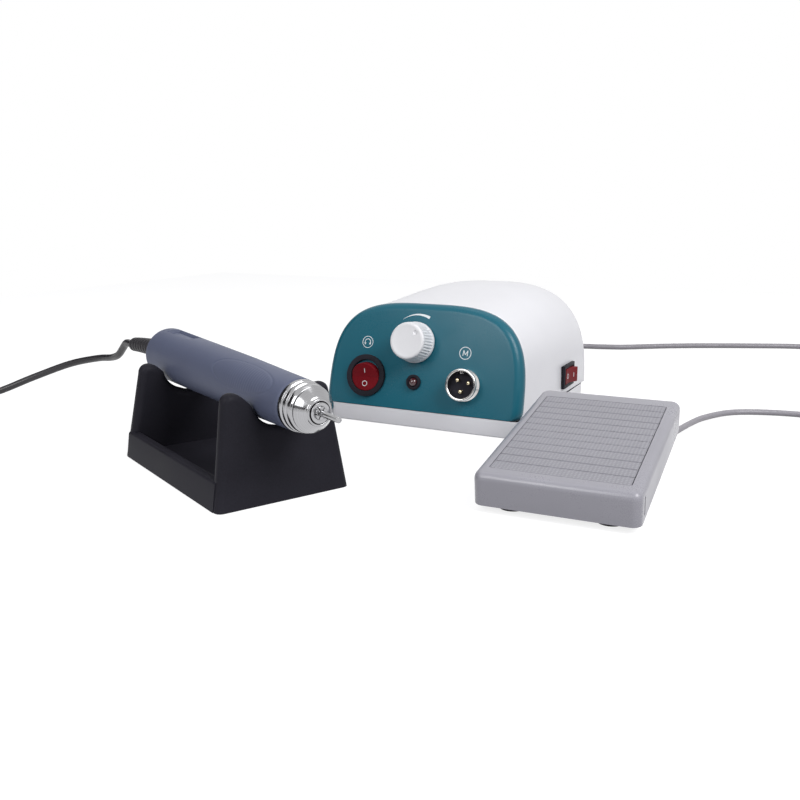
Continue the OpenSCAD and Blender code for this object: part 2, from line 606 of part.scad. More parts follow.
module hand_cord() color([0.05, 0.05, 0.05]) tube(hand_route, hand_cord_d / 2, 8, hand_way,
  along(hand_turns, 0));
module hand_coil() color([0.05, 0.05, 0.05]) tube(hand_turns, hand_cord_d / 2, 6, along(hand_turns, 0),
  along(hand_turns, len(hand_turns) - 1));
module at_end(p) {
  m = len(p) - 1;
  t = along(p, m);
  translate(p[m]) rotate([0, 0, atan2(t[1], t[0])]) rotate([0, 90, 0]) children();
}
module hand_plug() color([0.75, 0.75, 0.78]) at_end(hand_turns) difference() {
  rotate_extrude() polygon([[0, 0], [hand_cord_d / 2 + 0.7, 0], [4.2, 12], [6.2, 13], [nut_r - 1.6, 16],
    [nut_r - 1.6, 20], [socket_bore - 0.6, 20], [socket_bore - 0.6, 40], [0, 40]]);
  contacts(contact_r + 0.1, 12, 34);
}
module plug_nut() color([0.8, 0.8, 0.82]) at_end(hand_turns) translate([0, 0, 20 + gap]) difference() {
  cylinder(r = nut_r, h = 18);
  translate([0, 0, -1]) cylinder(r = socket_bore - 0.6 + run, h = 5);
  translate([0, 0, 3]) cylinder(r = socket_r + run, h = 30);
}
module mains_cord() color([0.5, 0.5, 0.53]) tube(mains_route, mains_cord_d / 2, 8, [0, 1, 0],
  along(mains_turns, 0));
module mains_coil() color([0.5, 0.5, 0.53]) tube(mains_turns, mains_cord_d / 2, 6, along(mains_turns, 0),
  along(mains_turns, len(mains_turns) - 1));
module mains_plug() color([0.5, 0.5, 0.53]) at_end(mains_turns) difference() {
  union() {
    rotate_extrude() polygon([[0, 0], [mains_cord_d / 2 + 0.7, 0], [4.6, 20], [0, 20]]);
    translate([0, 0, 19]) rotate([0, 0, 90]) block(34, 2 * mains_plug_z - 0.2, 26, 5);
  }
  for (y = [-9.3, 9.3]) translate([0, y, 35]) cylinder(r = 2, h = 20, $fn = 32);
}
module mains_pins() color([0.8, 0.7, 0.4]) at_end(mains_turns) {
  for (y = [-9.3, 9.3]) translate([0, y, 35]) cylinder(r = 2, h = 29, $fn = 32);
}
module pedal_cord() color([0.55, 0.54, 0.57]) tube(pedal_route, pedal_cord_d / 2, 8, pedal_way,
  along(pedal_turns, 0));
module pedal_coil() color([0.55, 0.54, 0.57]) tube(pedal_turns, pedal_cord_d / 2, 6, along(pedal_turns, 0),
  along(pedal_turns, len(pedal_turns) - 1));
module pedal_plug() color([0.3, 0.3, 0.32]) at_end(pedal_turns) {
  rotate_extrude() polygon([[0, 0], [pedal_cord_d / 2 + 0.7, 0], [3.6, 10], [5.6, 11], [6, 13], [6, 34],
    [4.8, 35], [4.8, 38], [3.17, 38], [3.17, 52], [2.8, 52.4], [2.8, 53.2], [3.17, 53.6], [3.17, 62],
    [2.2, 64], [2.9, 66], [0, 69]]);
}

module pedal_base() color([0.16, 0.16, 0.17]) on_pedal() difference() {
  union() {
    translate([0, 0, base_z]) block(base_w, base_l, base_t, 4);
    for (x = [-22, 22]) translate([x - 2.5, pin_y - pin_r - 1.1, base_z + 1]) cube([5, 6.5, 9]);
    translate([0, spring_y, deck - 0.5]) cylinder(r = 3, h = 3.5);
    translate([14, base_l / 2 - 0.5, 2.1]) rotate([-90, 0, 0]) cylinder(r = 2, h = pedal_gland_l + 0.5);
  }
  translate([-50, pin_y, pin_z]) rotate([0, 90, 0]) cylinder(r = pin_r, h = 100);
}
module pedal_feet() color([0.06, 0.06, 0.06]) on_pedal() {
  for (x = [-20, 20], y = [-1, 1]) translate([x, y * (base_l / 2 - 6), 0]) cylinder(r = 5.5, h = base_z);
}
module treadle() color([0.62, 0.61, 0.64]) on_treadle() difference() {
  hull() {
    for (x = [-1, 1], y = [-1, 1]) translate([x * (pedal_w / 2 - 6), y * (pedal_l / 2 - 6), 0]) {
      translate([0, 0, skirt_z]) cylinder(r = 5.6, h = 1, $fn = 32);
      translate([0, 0, skirt_z + 1]) cylinder(r = 6, h = treadle_h - 4.6, $fn = 32);
      translate([0, 0, skirt_z + treadle_h - 1.8]) cylinder(r = 4.9, h = 1, $fn = 32);
      translate([0, 0, skirt_z + treadle_h - 1]) cylinder(r = 3, h = 1, $fn = 32);
    }
  }
  block(pedal_w - 2 * treadle_t, pedal_l - 2 * treadle_t, ceiling, 3);
  translate([0, -2.5, treadle_top - 1.2]) block(pedal_w - 11, pedal_l - 17, 4, 1);
  translate([-50, pin_y, pin_z]) rotate([0, 90, 0]) cylinder(r = pin_r + run, h = 100);
}
module tread_mat() color([0.58, 0.57, 0.6]) on_treadle() difference() {
  translate([0, -2.5, treadle_top - 1.2]) block(pedal_w - 11, pedal_l - 17, 1.3, 1);
  for (k = [1:11]) translate([-pedal_w / 2 + 7, -2.5 - (pedal_l - 17) / 2 + k * (pedal_l - 17) / 12 - 0.3,
    treadle_top - 0.5]) cube([pedal_w - 14, 0.6, 2]);
}
module hinge_pin() color([0.7, 0.7, 0.72]) on_pedal() translate([-pedal_w / 2 + 0.3, pin_y, pin_z])
  rotate([0, 90, 0]) cylinder(r = pin_r, h = pedal_w - 0.6);
module return_spring() color([0.6, 0.6, 0.62]) on_pedal() {
  near = spring_y - pin_y - spring_r - wire_r;
  high = pin_z + near * sin(treadle_rise) + (ceiling - pin_z) * cos(treadle_rise) - gap;
  low = deck + wire_r;
  turns = [for (i = [0:72]) [spring_r * cos(30 * i), spring_y + spring_r * sin(30 * i),
    low + (high - wire_r - low) * i / 72]];
  tube(turns, wire_r, 6, along(turns, 0), along(turns, 72));
}
module pedal_switch() color([0.1, 0.1, 0.12]) on_pedal() difference() {
  translate([-10, plunger_y - 6, deck]) cube([20, 12, 5]);
  translate([0, plunger_y, deck + 0.4]) cylinder(r = 2 + run, h = 10);
}
module switch_plunger() color([0.75, 0.2, 0.15]) on_pedal() {
  reach = pin_z + (plunger_y - pin_y - 2) * sin(treadle_rise) + (ceiling - pin_z) * cos(treadle_rise) - gap;
  translate([0, plunger_y, deck + 3.6]) cylinder(r = 2, h = reach - deck - 3.6);
}

unit_base();
unit_pads();
unit_cover();
front_panel();
rear_panel();
speed_knob();
pot_shaft();
potentiometer();
direction_switch();
direction_rocker();
power_switch();
power_rocker();
lamp_bezel();
lamp_lens();
socket_shell();
socket_insert();
socket_pins();
socket_nut();
transformer_core();
transformer_coil();
circuit_board();
board_parts();
mains_gland();
pedal_jack();
fuse_holder();
fuse_cap();
stand();
grip_sleeve();
motor_housing();
rear_cap();
cable_boot();
magnets();
brush_holders();
front_bearing();
rear_bearing();
nose_cone();
chuck_ring();
spindle();
rotor();
collet();
bur();
hand_cord();
hand_coil();
hand_plug();
plug_nut();
mains_cord();
mains_coil();
mains_plug();
mains_pins();
pedal_base();
pedal_feet();
treadle();
tread_mat();
hinge_pin();
return_spring();
pedal_switch();
switch_plunger();
pedal_cord();
pedal_coil();
pedal_plug();
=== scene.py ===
"""Dresses the solids of a dental micromotor set.

A control unit, a handpiece on its rest, a foot pedal and three cords.
"""

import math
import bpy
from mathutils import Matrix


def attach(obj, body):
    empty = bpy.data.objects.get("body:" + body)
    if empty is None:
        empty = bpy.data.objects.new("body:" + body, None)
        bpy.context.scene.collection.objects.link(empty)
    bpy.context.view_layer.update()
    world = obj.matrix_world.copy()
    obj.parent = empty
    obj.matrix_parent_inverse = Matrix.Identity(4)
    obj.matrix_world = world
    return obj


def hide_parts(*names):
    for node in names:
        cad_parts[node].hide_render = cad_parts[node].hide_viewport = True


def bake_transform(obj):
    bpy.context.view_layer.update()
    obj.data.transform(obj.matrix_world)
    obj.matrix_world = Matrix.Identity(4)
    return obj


bl_info = {
    "name": "Dental micromotor set",
    "version": (1, 0, 0),
    "blender": (4, 5, 0),
    "location": "View3D > Sidebar > Micromotor",
    "description": "Builds the finished pieces of a dental micromotor set over its solids",
    "category": "Object",
}

import bmesh
import bpy
from bpy.props import FloatProperty, FloatVectorProperty, IntProperty, PointerProperty
from mathutils import Matrix, Vector

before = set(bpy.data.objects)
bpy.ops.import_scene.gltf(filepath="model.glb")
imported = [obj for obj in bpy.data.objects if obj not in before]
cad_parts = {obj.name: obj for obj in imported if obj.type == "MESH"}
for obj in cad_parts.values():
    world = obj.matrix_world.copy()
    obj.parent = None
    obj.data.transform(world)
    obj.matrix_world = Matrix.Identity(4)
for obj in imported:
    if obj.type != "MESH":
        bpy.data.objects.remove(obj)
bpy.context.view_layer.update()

# Sizes in millimetres and angles in degrees, of the solids and of what the finer pieces change
UNIT_W, UNIT_D, BASE_H, COVER_TOP, WALL = 120.4, 123.8, 9.6, 70.6, 2.4
ARCH_H = COVER_TOP - BASE_H
ARCH_POWER = 2.8
LEAN = 13.0
FACE_T, PANEL_VIEW_T = 3.0, 6.0
PANEL_A, PANEL_VIEW_B, PANEL_POWER, PANEL_SHIFT = 59.2, 60.2, 3.45, -1.4
PANEL_CORNER, CORNER_PULL = 5.4, 0.06
REAR_RISE, DOME, DOME_SKEW, COVER_RIMS, RIM_T = 1.2, 2.6, 1.8, 16, 6.5
KNOB_AT, DIR_AT, LAMP_AT, SOCKET_AT = (-5.6, 37.8), (-34.7, 17.1), (-4.7, 15.8), (25.6, 16.8)
KNOB_R, KNOB_TOP = 11.4, 13.3
SOCKET_R, SOCKET_BORE, SOCKET_H = 8.75, 7.4, 7.0
LAMP_R = 4.2
ROCK, ROCKER_GROWTH = 12.0, (1.13, 1.05, 1, 1)
MARK_T = 0.06
POWER_AT = (58.4, 21.8, 20.7)
POWER_SEAT, POWER_L, POWER_H = 59.4, 21.5, 13.9
REST_W, REST_L, REST_H, REST_T, SILL_H = 60.9, 107.5, 46.5, 7.0, 12.5
HORN_R = 4.2
HORN_X = REST_W / 2 - 5.45 - HORN_R
FOOT_SPREAD, SILL_SPREAD = 1.6, 1.3
# The rest's end walls: height of the cradle and of the horns, height and radius of the grip, lean
NEAR_WALL = (31.9, REST_H + 1.4, 43.9, 11.4, 4.7)
TAIL_WALL = (31.3, REST_H + 0.5, 45.6, 13.1, 8.0)
GRIP_L, TAIL_R, WAIST_R, FRONT_R, GRIP_BORE = 137.0, 13.2, 12.0, 10.7, 8.6
TAIL_Y, TAIL_Z, NOD = 69.5, 46.0, 1.0
BOOT_R, BOOT_L, BOOT_SAG = 3.9, 50.0, 3.0
PAD_Z, PAD_TURN, PAD_HALF_L, PAD_HALF_W = 102.8, 51.0, 25.7, 6.9
SLOT_FROM, SLOT_TO, SLOT_HALF_W = 9.0, 37.0, 2.9
RING_Z, RING_L, NOSE_Z = 137.3, 9.0, 152.0
PEDAL_W, PEDAL_L, TREADLE_Z, TREADLE_H, TREADLE_T = 64.5, 103.4, 4.6, 13.1, 3.0
TREADLE_TOP = TREADLE_Z + TREADLE_H
PIN_Y, PIN_Z, RISE = -45.2, 9.5, 7.8
MAT_W, MAT_L, MAT_Y = PEDAL_W - 8.4, PEDAL_L - 16, -2.0
HAND_CORD_D, MAINS_LEAD_D, PEDAL_CABLE_D, COIL_GAP = 4.2, 4.2, 3.4, 0.45

# The photograph's camera: width of the picture and focal length in pixels, place in metres
PHOTO_W, FOCAL, SENSOR_W = 800, 861.28, 36
CAMERA_AT, CAMERA_DIP, CAMERA_TURN = (0.19614, -0.48128, 0.12124), 12.8, 26.35


def place(x, y, z, turn=0.0, axis="X"):
    """A frame at a point, turned about one axis."""
    return Matrix.Translation((x, y, z)) @ Matrix.Rotation(math.radians(turn), 4, axis)


METRES, MILLIMETRES = Matrix.Scale(0.001, 4), Matrix.Scale(1000, 4)
TABLE = Matrix.Identity(4)
PANEL = place(0, -UNIT_D / 2, BASE_H, 90 - LEAN)
REST = place(-46.8, -169.8, 0, 62.7, "Z")
HAND = REST @ place(0, TAIL_Y, TAIL_Z, 90 + NOD)
PEDAL = place(107.5, -119.4, 0, 1.7, "Z")
TREADLE = PEDAL @ place(0, PIN_Y, PIN_Z, RISE) @ place(0, -PIN_Y, -PIN_Z)


def on_panel(at, h=0.0):
    """A frame on the front panel's face, raised by h."""
    return PANEL @ place(*at, h)


# Settings


def measure(name, text, value, low, high):
    """A size setting in millimetres."""
    text += " in millimetres"
    return FloatProperty(name=name, description=text, default=value, min=low, max=high)


def number(name, text, value, low, high):
    """A count setting."""
    return IntProperty(name=name, description=text, default=value, min=low, max=high)


class MicromotorSizes(bpy.types.PropertyGroup):
    """Sizes of the fine details."""

    knob_ribs: number("Knob ribs", "Ribs round the speed knob", 40, 12, 90)
    knob_rib_depth: measure("Rib depth", "Depth of the knob's ribs", 0.42, 0.0, 0.8)
    panel_round: measure("Panel rounding", "Rounding of the panel's edge", 5.0, 0.5, 6.0)
    rest_round: measure("Rest rounding", "Rounding of the rest's walls", 3.1, 0.3, 3.3)
    pad_rib_depth: measure("Pad ribs", "Depth of the finger pads' ribs", 0.08, 0.0, 0.4)
    treadle_round: measure("Treadle rounding", "Rounding of the treadle", 3.4, 0.5, 3.8)
    tread_grooves: number("Grooves", "Grooves across the tread mat", 11, 3, 20)
    dot_pitch: measure("Dot pitch", "Distance between the tread's dots", 1.5, 0.5, 3.0)


def hue(name, text, value):
    """A colour setting."""
    return FloatVectorProperty(
        name=name, description=text, subtype="COLOR", size=3, default=value, min=0.0, max=1.0
    )


class MicromotorColours(bpy.types.PropertyGroup):
    """Colours of the finishes."""

    shell_white: hue("Case", "Moulded white case", (0.76, 0.76, 0.80))
    panel_teal: hue("Panel", "Teal front panel", (0.010, 0.118, 0.170))
    knob_white: hue("Knob", "White speed knob", (0.78, 0.78, 0.81))
    black_plastic: hue("Black parts", "Rest, bezels and plugs", (0.016, 0.0155, 0.0205))
    red_rocker: hue("Rockers", "Red switch rockers", (0.20, 0.010, 0.016))
    lamp_red: hue("Lamp", "Dark red lamp lens", (0.060, 0.006, 0.010))
    print_white: hue("Marks", "Printed marks", (0.80, 0.84, 0.86))
    chrome: hue("Chrome", "Plated collar", (0.66, 0.65, 0.64))
    steel: hue("Steel", "Turned steel", (0.416, 0.416, 0.428))
    brass: hue("Brass", "Contacts", (0.72, 0.62, 0.42))
    copper: hue("Copper", "Windings", (0.52, 0.20, 0.07))
    iron: hue("Iron", "Laminations and magnets", (0.10, 0.10, 0.11))
    board: hue("Board", "Circuit board", (0.012, 0.110, 0.040))
    grip_blue: hue("Grip", "Slate blue sleeve", (0.096, 0.110, 0.172))
    black_rubber: hue("Rubber", "Boot, feet and black cord", (0.016, 0.015, 0.018))
    grey_cable: hue("Grey cables", "Mains lead and pedal cable", (0.281, 0.269, 0.300))
    pedal_grey: hue("Pedal", "Grey treadle", (0.295, 0.290, 0.330))
    mat_grey: hue("Tread", "Grey tread mat", (0.324, 0.320, 0.360))
    pedal_dark: hue("Pedal base", "Dark pedal base", (0.05, 0.05, 0.055))


# Finishes


GROUP_INPUTS = (
    ("Vector", "NodeSocketVector", None),
    ("Colour", "NodeSocketColor", (0.5, 0.5, 0.5, 1)),
    ("Shade", "NodeSocketColor", (0.4, 0.4, 0.4, 1)),
    ("Grain", "NodeSocketFloat", 1000.0),
    ("Roughness", "NodeSocketFloat", 0.4),
    ("Spread", "NodeSocketFloat", 0.1),
)
GROUP_OUTPUTS = (
    ("Colour", "NodeSocketColor"),
    ("Roughness", "NodeSocketFloat"),
    ("Height", "NodeSocketFloat"),
)


def effect_group(name):
    """A shader group that gives a colour, a roughness and a height."""
    group = bpy.data.node_groups.new(name, "ShaderNodeTree")
    for label, kind, value in GROUP_INPUTS:
        socket = group.interface.new_socket(name=label, in_out="INPUT", socket_type=kind)
        if value is not None:
            socket.default_value = value
    for label, kind in GROUP_OUTPUTS:
        group.interface.new_socket(name=label, in_out="OUTPUT", socket_type=kind)
    return group, group.nodes.new("NodeGroupInput"), group.nodes.new("NodeGroupOutput")


def maths(group, operation, first, second):
    """A maths node; numbers are set and sockets are linked."""
    node = group.nodes.new("ShaderNodeMath")
    node.operation = operation
    for slot, value in zip(node.inputs, (first, second)):
        if isinstance(value, (int, float)):
            slot.default_value = value
        else:
            group.links.new(value, slot)
    return node.outputs[0]


def noise(group, vector, scale, detail):
    """A noise texture; the scale is a number or a socket."""
    node = group.nodes.new("ShaderNodeTexNoise")
    node.inputs["Detail"].default_value = detail
    group.links.new(vector, node.inputs["Vector"])
    if isinstance(scale, (int, float)):
        node.inputs["Scale"].default_value = scale
    else:
        group.links.new(scale, node.inputs["Scale"])
    return node.outputs[0]


def blend_colours(group, factor, first, second):
    """A colour between two sockets."""
    node = group.nodes.new("ShaderNodeMix")
    node.data_type = "RGBA"
    group.links.new(factor, node.inputs[0])
    group.links.new(first, node.inputs[6])
    group.links.new(second, node.inputs[7])
    return node.outputs[2]


def close_group(group, given, out, patch, height):
    """Colour and roughness from a patchy value, and the height, to the group's outputs."""
    colour = blend_colours(group, patch, given.outputs["Colour"], given.outputs["Shade"])
    swing = maths(group, "MULTIPLY", maths(group, "SUBTRACT", patch, 0.5), given.outputs["Spread"])
    group.links.new(colour, out.inputs["Colour"])
    group.links.new(maths(group, "ADD", given.outputs["Roughness"], swing), out.inputs["Roughness"])
    group.links.new(height, out.inputs["Height"])
    return group


def weighted(group, first, second, share):
    """A mix of two values; the share is the first one's."""
    parts = [(first, share), (second, 1 - share)]
    return maths(group, "ADD", *[maths(group, "MULTIPLY", *part) for part in parts])


def parts_of(group, vector):
    """The X, Y and Z of a vector."""
    node = group.nodes.new("ShaderNodeSeparateXYZ")
    group.links.new(vector, node.inputs[0])
    return node.outputs


def spread_out(group, value, low, high):
    """A value stretched from a narrow range to 0 and 1."""
    node = group.nodes.new("ShaderNodeMapRange")
    group.links.new(value, node.inputs["Value"])
    node.inputs["From Min"].default_value = low
    node.inputs["From Max"].default_value = high
    return node.outputs[0]


def moulded_grain():
    """Fine spark grain of a moulded surface over slow patches of handling."""
    group, given, out = effect_group("moulded_grain")
    vector = given.outputs["Vector"]
    slow = noise(group, vector, 26.0, 4.0)
    fine = noise(group, vector, given.outputs["Grain"], 2.0)
    patch = spread_out(group, weighted(group, slow, fine, 0.7), 0.32, 0.68)
    return close_group(group, given, out, patch, fine)


def turned_lines():
    """Fine rings left by a lathe, about the vector's Z axis."""
    group, given, out = effect_group("turned_lines")
    parts = parts_of(group, given.outputs["Vector"])
    squares = [maths(group, "MULTIPLY", parts[i], parts[i]) for i in (0, 1)]
    radius = maths(group, "SQRT", maths(group, "ADD", *squares), 0.0)
    around = group.nodes.new("ShaderNodeCombineXYZ")
    group.links.new(radius, around.inputs[0])
    group.links.new(parts[2], around.inputs[1])
    lines = noise(group, around.outputs[0], given.outputs["Grain"], 3.0)
    slow = noise(group, given.outputs["Vector"], 60.0, 2.0)
    patch = spread_out(group, weighted(group, lines, slow, 0.75), 0.3, 0.7)
    return close_group(group, given, out, patch, lines)


def stacked_layers():
    """Thin layers one behind another along the vector's Y axis, for laminations and windings."""
    group, given, out = effect_group("stacked_layers")
    parts = parts_of(group, given.outputs["Vector"])
    depth = maths(group, "MULTIPLY", parts[1], given.outputs["Grain"])
    layer = spread_out(group, maths(group, "SINE", depth, 0.0), -1.0, 1.0)
    slow = noise(group, given.outputs["Vector"], 120.0, 3.0)
    return close_group(group, given, out, weighted(group, layer, slow, 0.7), layer)


def dotted_tread():
    """Rows of small raised dots, staggered like a tread, in the vector's XY plane, with painted
    shade in the pits between them.
    """
    group, given, out = effect_group("dotted_tread")
    parts = parts_of(group, given.outputs["Vector"])
    across = maths(group, "MULTIPLY", parts[0], given.outputs["Grain"])
    along = maths(group, "MULTIPLY", parts[1], given.outputs["Grain"])
    cells = [maths(group, "ADD", across, along), maths(group, "SUBTRACT", across, along)]
    waves = [maths(group, "COSINE", maths(group, "MULTIPLY", cell, math.pi), 0.0) for cell in cells]
    dots = spread_out(group, maths(group, "MULTIPLY", *waves), -0.1, 0.7)
    slow = noise(group, given.outputs["Vector"], 40.0, 4.0)
    # The pits between the raised dots are painted darker: painted shade in the recesses.
    painted_pit_shade = maths(group, "SUBTRACT", 1.0, dots)
    return close_group(group, given, out, weighted(group, painted_pit_shade, slow, 0.75), dots)


def copper_tracks():
    """Tracks and pads of a circuit board."""
    group, given, out = effect_group("copper_tracks")
    tiles = group.nodes.new("ShaderNodeTexBrick")
    tiles.inputs["Mortar Size"].default_value = 0.06
    tiles.inputs["Color1"].default_value = (0, 0, 0, 1)
    tiles.inputs["Color2"].default_value = (0.15, 0.15, 0.15, 1)
    tiles.inputs["Mortar"].default_value = (1, 1, 1, 1)
    group.links.new(given.outputs["Vector"], tiles.inputs["Vector"])
    group.links.new(given.outputs["Grain"], tiles.inputs["Scale"])
    patches = noise(group, given.outputs["Vector"], 90.0, 1.0)
    track = maths(group, "MULTIPLY", tiles.outputs["Color"], patches)
    return close_group(group, given, out, track, tiles.outputs["Color"])


def finish(name, kind, colour, shade, grain, rough, spread, bump, where, sockets):
    """A material: an effect group on the piece's coordinates, and constants on the shader."""
    material = bpy.data.materials.new(name + "_finish")
    material.use_nodes = True
    tree = material.node_tree
    shader = tree.nodes["Principled BSDF"]
    source = tree.nodes.new("ShaderNodeTexCoord").outputs["Object"]
    if where is not None:
        turned = tree.nodes.new("ShaderNodeMapping")
        turned.vector_type = "TEXTURE"
        turned.inputs["Location"].default_value = where.to_translation() * 0.001
        turned.inputs["Rotation"].default_value = where.to_euler()
        tree.links.new(source, turned.inputs["Vector"])
        source = turned.outputs["Vector"]
    effect = tree.nodes.new("ShaderNodeGroup")
    effect.node_tree = bpy.data.node_groups[kind]
    tree.links.new(source, effect.inputs["Vector"])
    effect.inputs["Colour"].default_value = (*colour, 1)
    effect.inputs["Shade"].default_value = (*[c * shade for c in colour], 1)
    effect.inputs["Grain"].default_value = grain
    effect.inputs["Roughness"].default_value = rough
    effect.inputs["Spread"].default_value = spread
    relief = tree.nodes.new("ShaderNodeBump")
    relief.inputs["Strength"].default_value = 0.5
    relief.inputs["Distance"].default_value = bump * 0.001
    tree.links.new(effect.outputs["Height"], relief.inputs["Height"])
    tree.links.new(effect.outputs["Colour"], shader.inputs["Base Color"])
    tree.links.new(effect.outputs["Roughness"], shader.inputs["Roughness"])
    tree.links.new(relief.outputs["Normal"], shader.inputs["Normal"])
    for socket, value in sockets.items():
        shader.inputs[socket].default_value = value
    return material


def look(name):
    """A finish by its name; the solids bring plain materials of their own."""
    return bpy.data.materials[name + "_finish"]


# Finishes of the set: name, effect, shade of its patches, grain, roughness and its spread, relief
# in millimetres, constants of the shader

GRAIN, LINES, LAYERS = "moulded_grain", "turned_lines", "stacked_layers"
FINISHES = (
    ("shell_white", GRAIN, 0.955, 2600, 0.34, 0.10, 0.010, {"Specular IOR Level": 0.45}),
    ("panel_teal", GRAIN, 0.88, 2400, 0.28, 0.08, 0.006, {"Specular IOR Level": 0.26}),
    ("knob_white", GRAIN, 0.94, 2600, 0.33, 0.10, 0.008, {}),
    ("black_plastic", GRAIN, 1.5, 1500, 0.46, 0.12, 0.016, {"Specular IOR Level": 0.05}),
    ("red_rocker", GRAIN, 0.70, 1800, 0.26, 0.08, 0.006, {"Specular IOR Level": 0.06}),
    ("lamp_red", GRAIN, 0.60, 900, 0.10, 0.06, 0.004, {"Coat Weight": 0.8}),
    ("print_white", GRAIN, 0.92, 3000, 0.50, 0.10, 0.004, {}),
    ("chrome", LINES, 0.90, 2600, 0.13, 0.08, 0.004, {"Metallic": 1.0}),
    ("steel", GRAIN, 0.85, 2200, 0.30, 0.12, 0.004, {"Metallic": 1.0}),
    ("steel_turned", LINES, 0.82, 3600, 0.17, 0.12, 0.004, {"Metallic": 1.0}),
    ("brass", GRAIN, 0.84, 1800, 0.24, 0.10, 0.004, {"Metallic": 1.0}),
    ("copper", LAYERS, 0.45, 9000, 0.38, 0.14, 0.10, {"Metallic": 0.8}),
    ("iron", LAYERS, 0.55, 12000, 0.52, 0.12, 0.06, {"Metallic": 0.6}),
    ("board", "copper_tracks", 2.4, 160, 0.42, 0.12, 0.03, {}),
    ("grip_blue", GRAIN, 0.90, 3000, 0.50, 0.10, 0.012, {"Specular IOR Level": 0.25}),
    ("black_rubber", GRAIN, 1.6, 1800, 0.50, 0.14, 0.02, {"Specular IOR Level": 0.25}),
    ("black_cable", GRAIN, 1.5, 1200, 0.36, 0.12, 0.012, {}),
    ("grey_cable", GRAIN, 0.88, 1200, 0.40, 0.12, 0.012, {}),
    ("pedal_grey", GRAIN, 0.93, 2200, 0.30, 0.10, 0.010, {}),
    ("pedal_dark", GRAIN, 1.4, 1800, 0.48, 0.12, 0.016, {}),
)
# Colours that two finishes share, and frames of the effects that follow a piece's own axis
SHARED_COLOUR = {"steel_turned": "steel", "black_cable": "black_rubber"}
AXIS_OF = {"chrome": on_panel(SOCKET_AT), "steel_turned": HAND}


class MICROMOTOR_OT_finishes(bpy.types.Operator):
    """Makes the shader groups and the materials of the set"""

    bl_idname = "micromotor.finishes"
    bl_label = "Finishes"

    def execute(self, context):
        for build in (moulded_grain, turned_lines, stacked_layers, dotted_tread, copper_tracks):
            build()
        colours, sizes = context.scene.micromotor_colours, context.scene.micromotor_sizes
        for name, kind, *values, sockets in FINISHES:
            colour = getattr(colours, SHARED_COLOUR.get(name, name))
            finish(name, kind, colour, *values, AXIS_OF.get(name), sockets)
        dots = 1000 / sizes.dot_pitch
        colour = colours.mat_grey
        # The tread's colour falls to 0.74 of itself in the pits between its dots, a painted shade.
        finish("mat_grey", "dotted_tread", colour, 0.74, dots, 0.50, 0.12, 0.22, TREADLE, {})
        return {"FINISHED"}


# Making of meshes, in millimetres


def catmull(points, k):
    """A smooth line through points, k steps from each to the next."""
    line = []
    for i in range(len(points) - 1):
        a, b, c = points[max(i - 1, 0)], points[i], points[i + 1]
        d = points[min(i + 2, len(points) - 1)]
        for j in range(k):
            t = j / k
            bend, twist = 2 * a - 5 * b + 4 * c - d, 3 * b - a - 3 * c + d
            line.append(0.5 * (2 * b + (c - a) * t + bend * t**2 + twist * t**3))
    return [*line, points[-1]]


def ease(t):
    """From 0 to 1 with a soft start and end."""
    return (1 - math.cos(math.pi * t)) / 2


def arch(a, b, steps=112, power=ARCH_POWER):
    """The case's outline: a rounded half outline on a flat bottom."""
    power = 2 / power
    turns = [math.pi * i / steps for i in range(steps + 1)]
    across = [math.copysign(abs(math.cos(t)) ** power, math.cos(t)) for t in turns]
    return [(a * x, b * abs(math.sin(t)) ** power) for x, t in zip(across, turns)]


def rounded(points, radius, steps=3):
    """A profile with its inner corners rounded."""
    line = [Vector(points[0])]
    for before, corner, after in zip(points, points[1:], points[2:]):
        before, corner, after = Vector(before), Vector(corner), Vector(after)
        back, ahead = before - corner, after - corner
        start = corner + back.normalized() * min(radius, back.length * 0.45)
        end = corner + ahead.normalized() * min(radius, ahead.length * 0.45)
        for i in range(steps + 1):
            t = i / steps
            line.append(start * (1 - t) ** 2 + corner * 2 * t * (1 - t) + end * t**2)
    return [*line, Vector(points[-1])]


def lathe(profile, steps=96, closed=False):
    """A profile of radius and height, spun about Z."""
    bm = bmesh.new()
    verts = [bm.verts.new((r, 0, z)) for r, z in profile]
    edges = [bm.edges.new(pair) for pair in zip(verts, verts[1:])]
    if closed:
        edges.append(bm.edges.new((verts[-1], verts[0])))
    bmesh.ops.spin(
        bm, geom=[*verts, *edges], cent=(0, 0, 0), axis=(0, 0, 1), angle=2 * math.pi, steps=steps,
        use_merge=True,
    )
    bmesh.ops.remove_doubles(bm, verts=bm.verts, dist=1e-4)
    bmesh.ops.recalc_face_normals(bm, faces=bm.faces)
    return bm


def raised(outline, depth, z=0.0):
    """A flat outline raised to a solid."""
    bm = bmesh.new()
    face = bm.faces.new([bm.verts.new((x, y, z)) for x, y in outline])
    moved = bmesh.ops.extrude_face_region(bm, geom=[face])["geom"]
    top = [v for v in moved if isinstance(v, bmesh.types.BMVert)]
    bmesh.ops.translate(bm, verts=top, vec=(0, 0, depth))
    bmesh.ops.recalc_face_normals(bm, faces=bm.faces)
    return bm


def soften(bm, edges, width, segments=3):
    """Rounds edges."""
    bmesh.ops.bevel(
        bm, geom=edges, offset=width, offset_type="OFFSET", segments=segments, profile=0.5,
        affect="EDGES", material=-1, clamp_overlap=True,
    )


def corners(bm, degrees=40.0):
    """Edges sharper than an angle."""
    limit = math.radians(degrees)
    return [e for e in bm.edges if len(e.link_faces) == 2 and e.calc_face_angle(0) > limit]


def upright(bm):
    """Edges along Z."""
    return [e for e in bm.edges if abs((e.verts[0].co - e.verts[1].co).normalized().z) > 0.99]


def level(bm, z):
    """Edges that lie at one height."""
    return [e for e in bm.edges if all(abs(v.co.z - z) < 1e-4 for v in e.verts)]


def slab(w, l, h, r, z=0.0, segments=8):
    """A block with rounded upright edges, standing at a height."""
    bm = bmesh.new()
    shape = place(0, 0, z + h / 2) @ Matrix.Diagonal((w, l, h, 1))
    bmesh.ops.create_cube(bm, size=1, matrix=shape)
    if r:
        soften(bm, upright(bm), r, segments)
    return bm


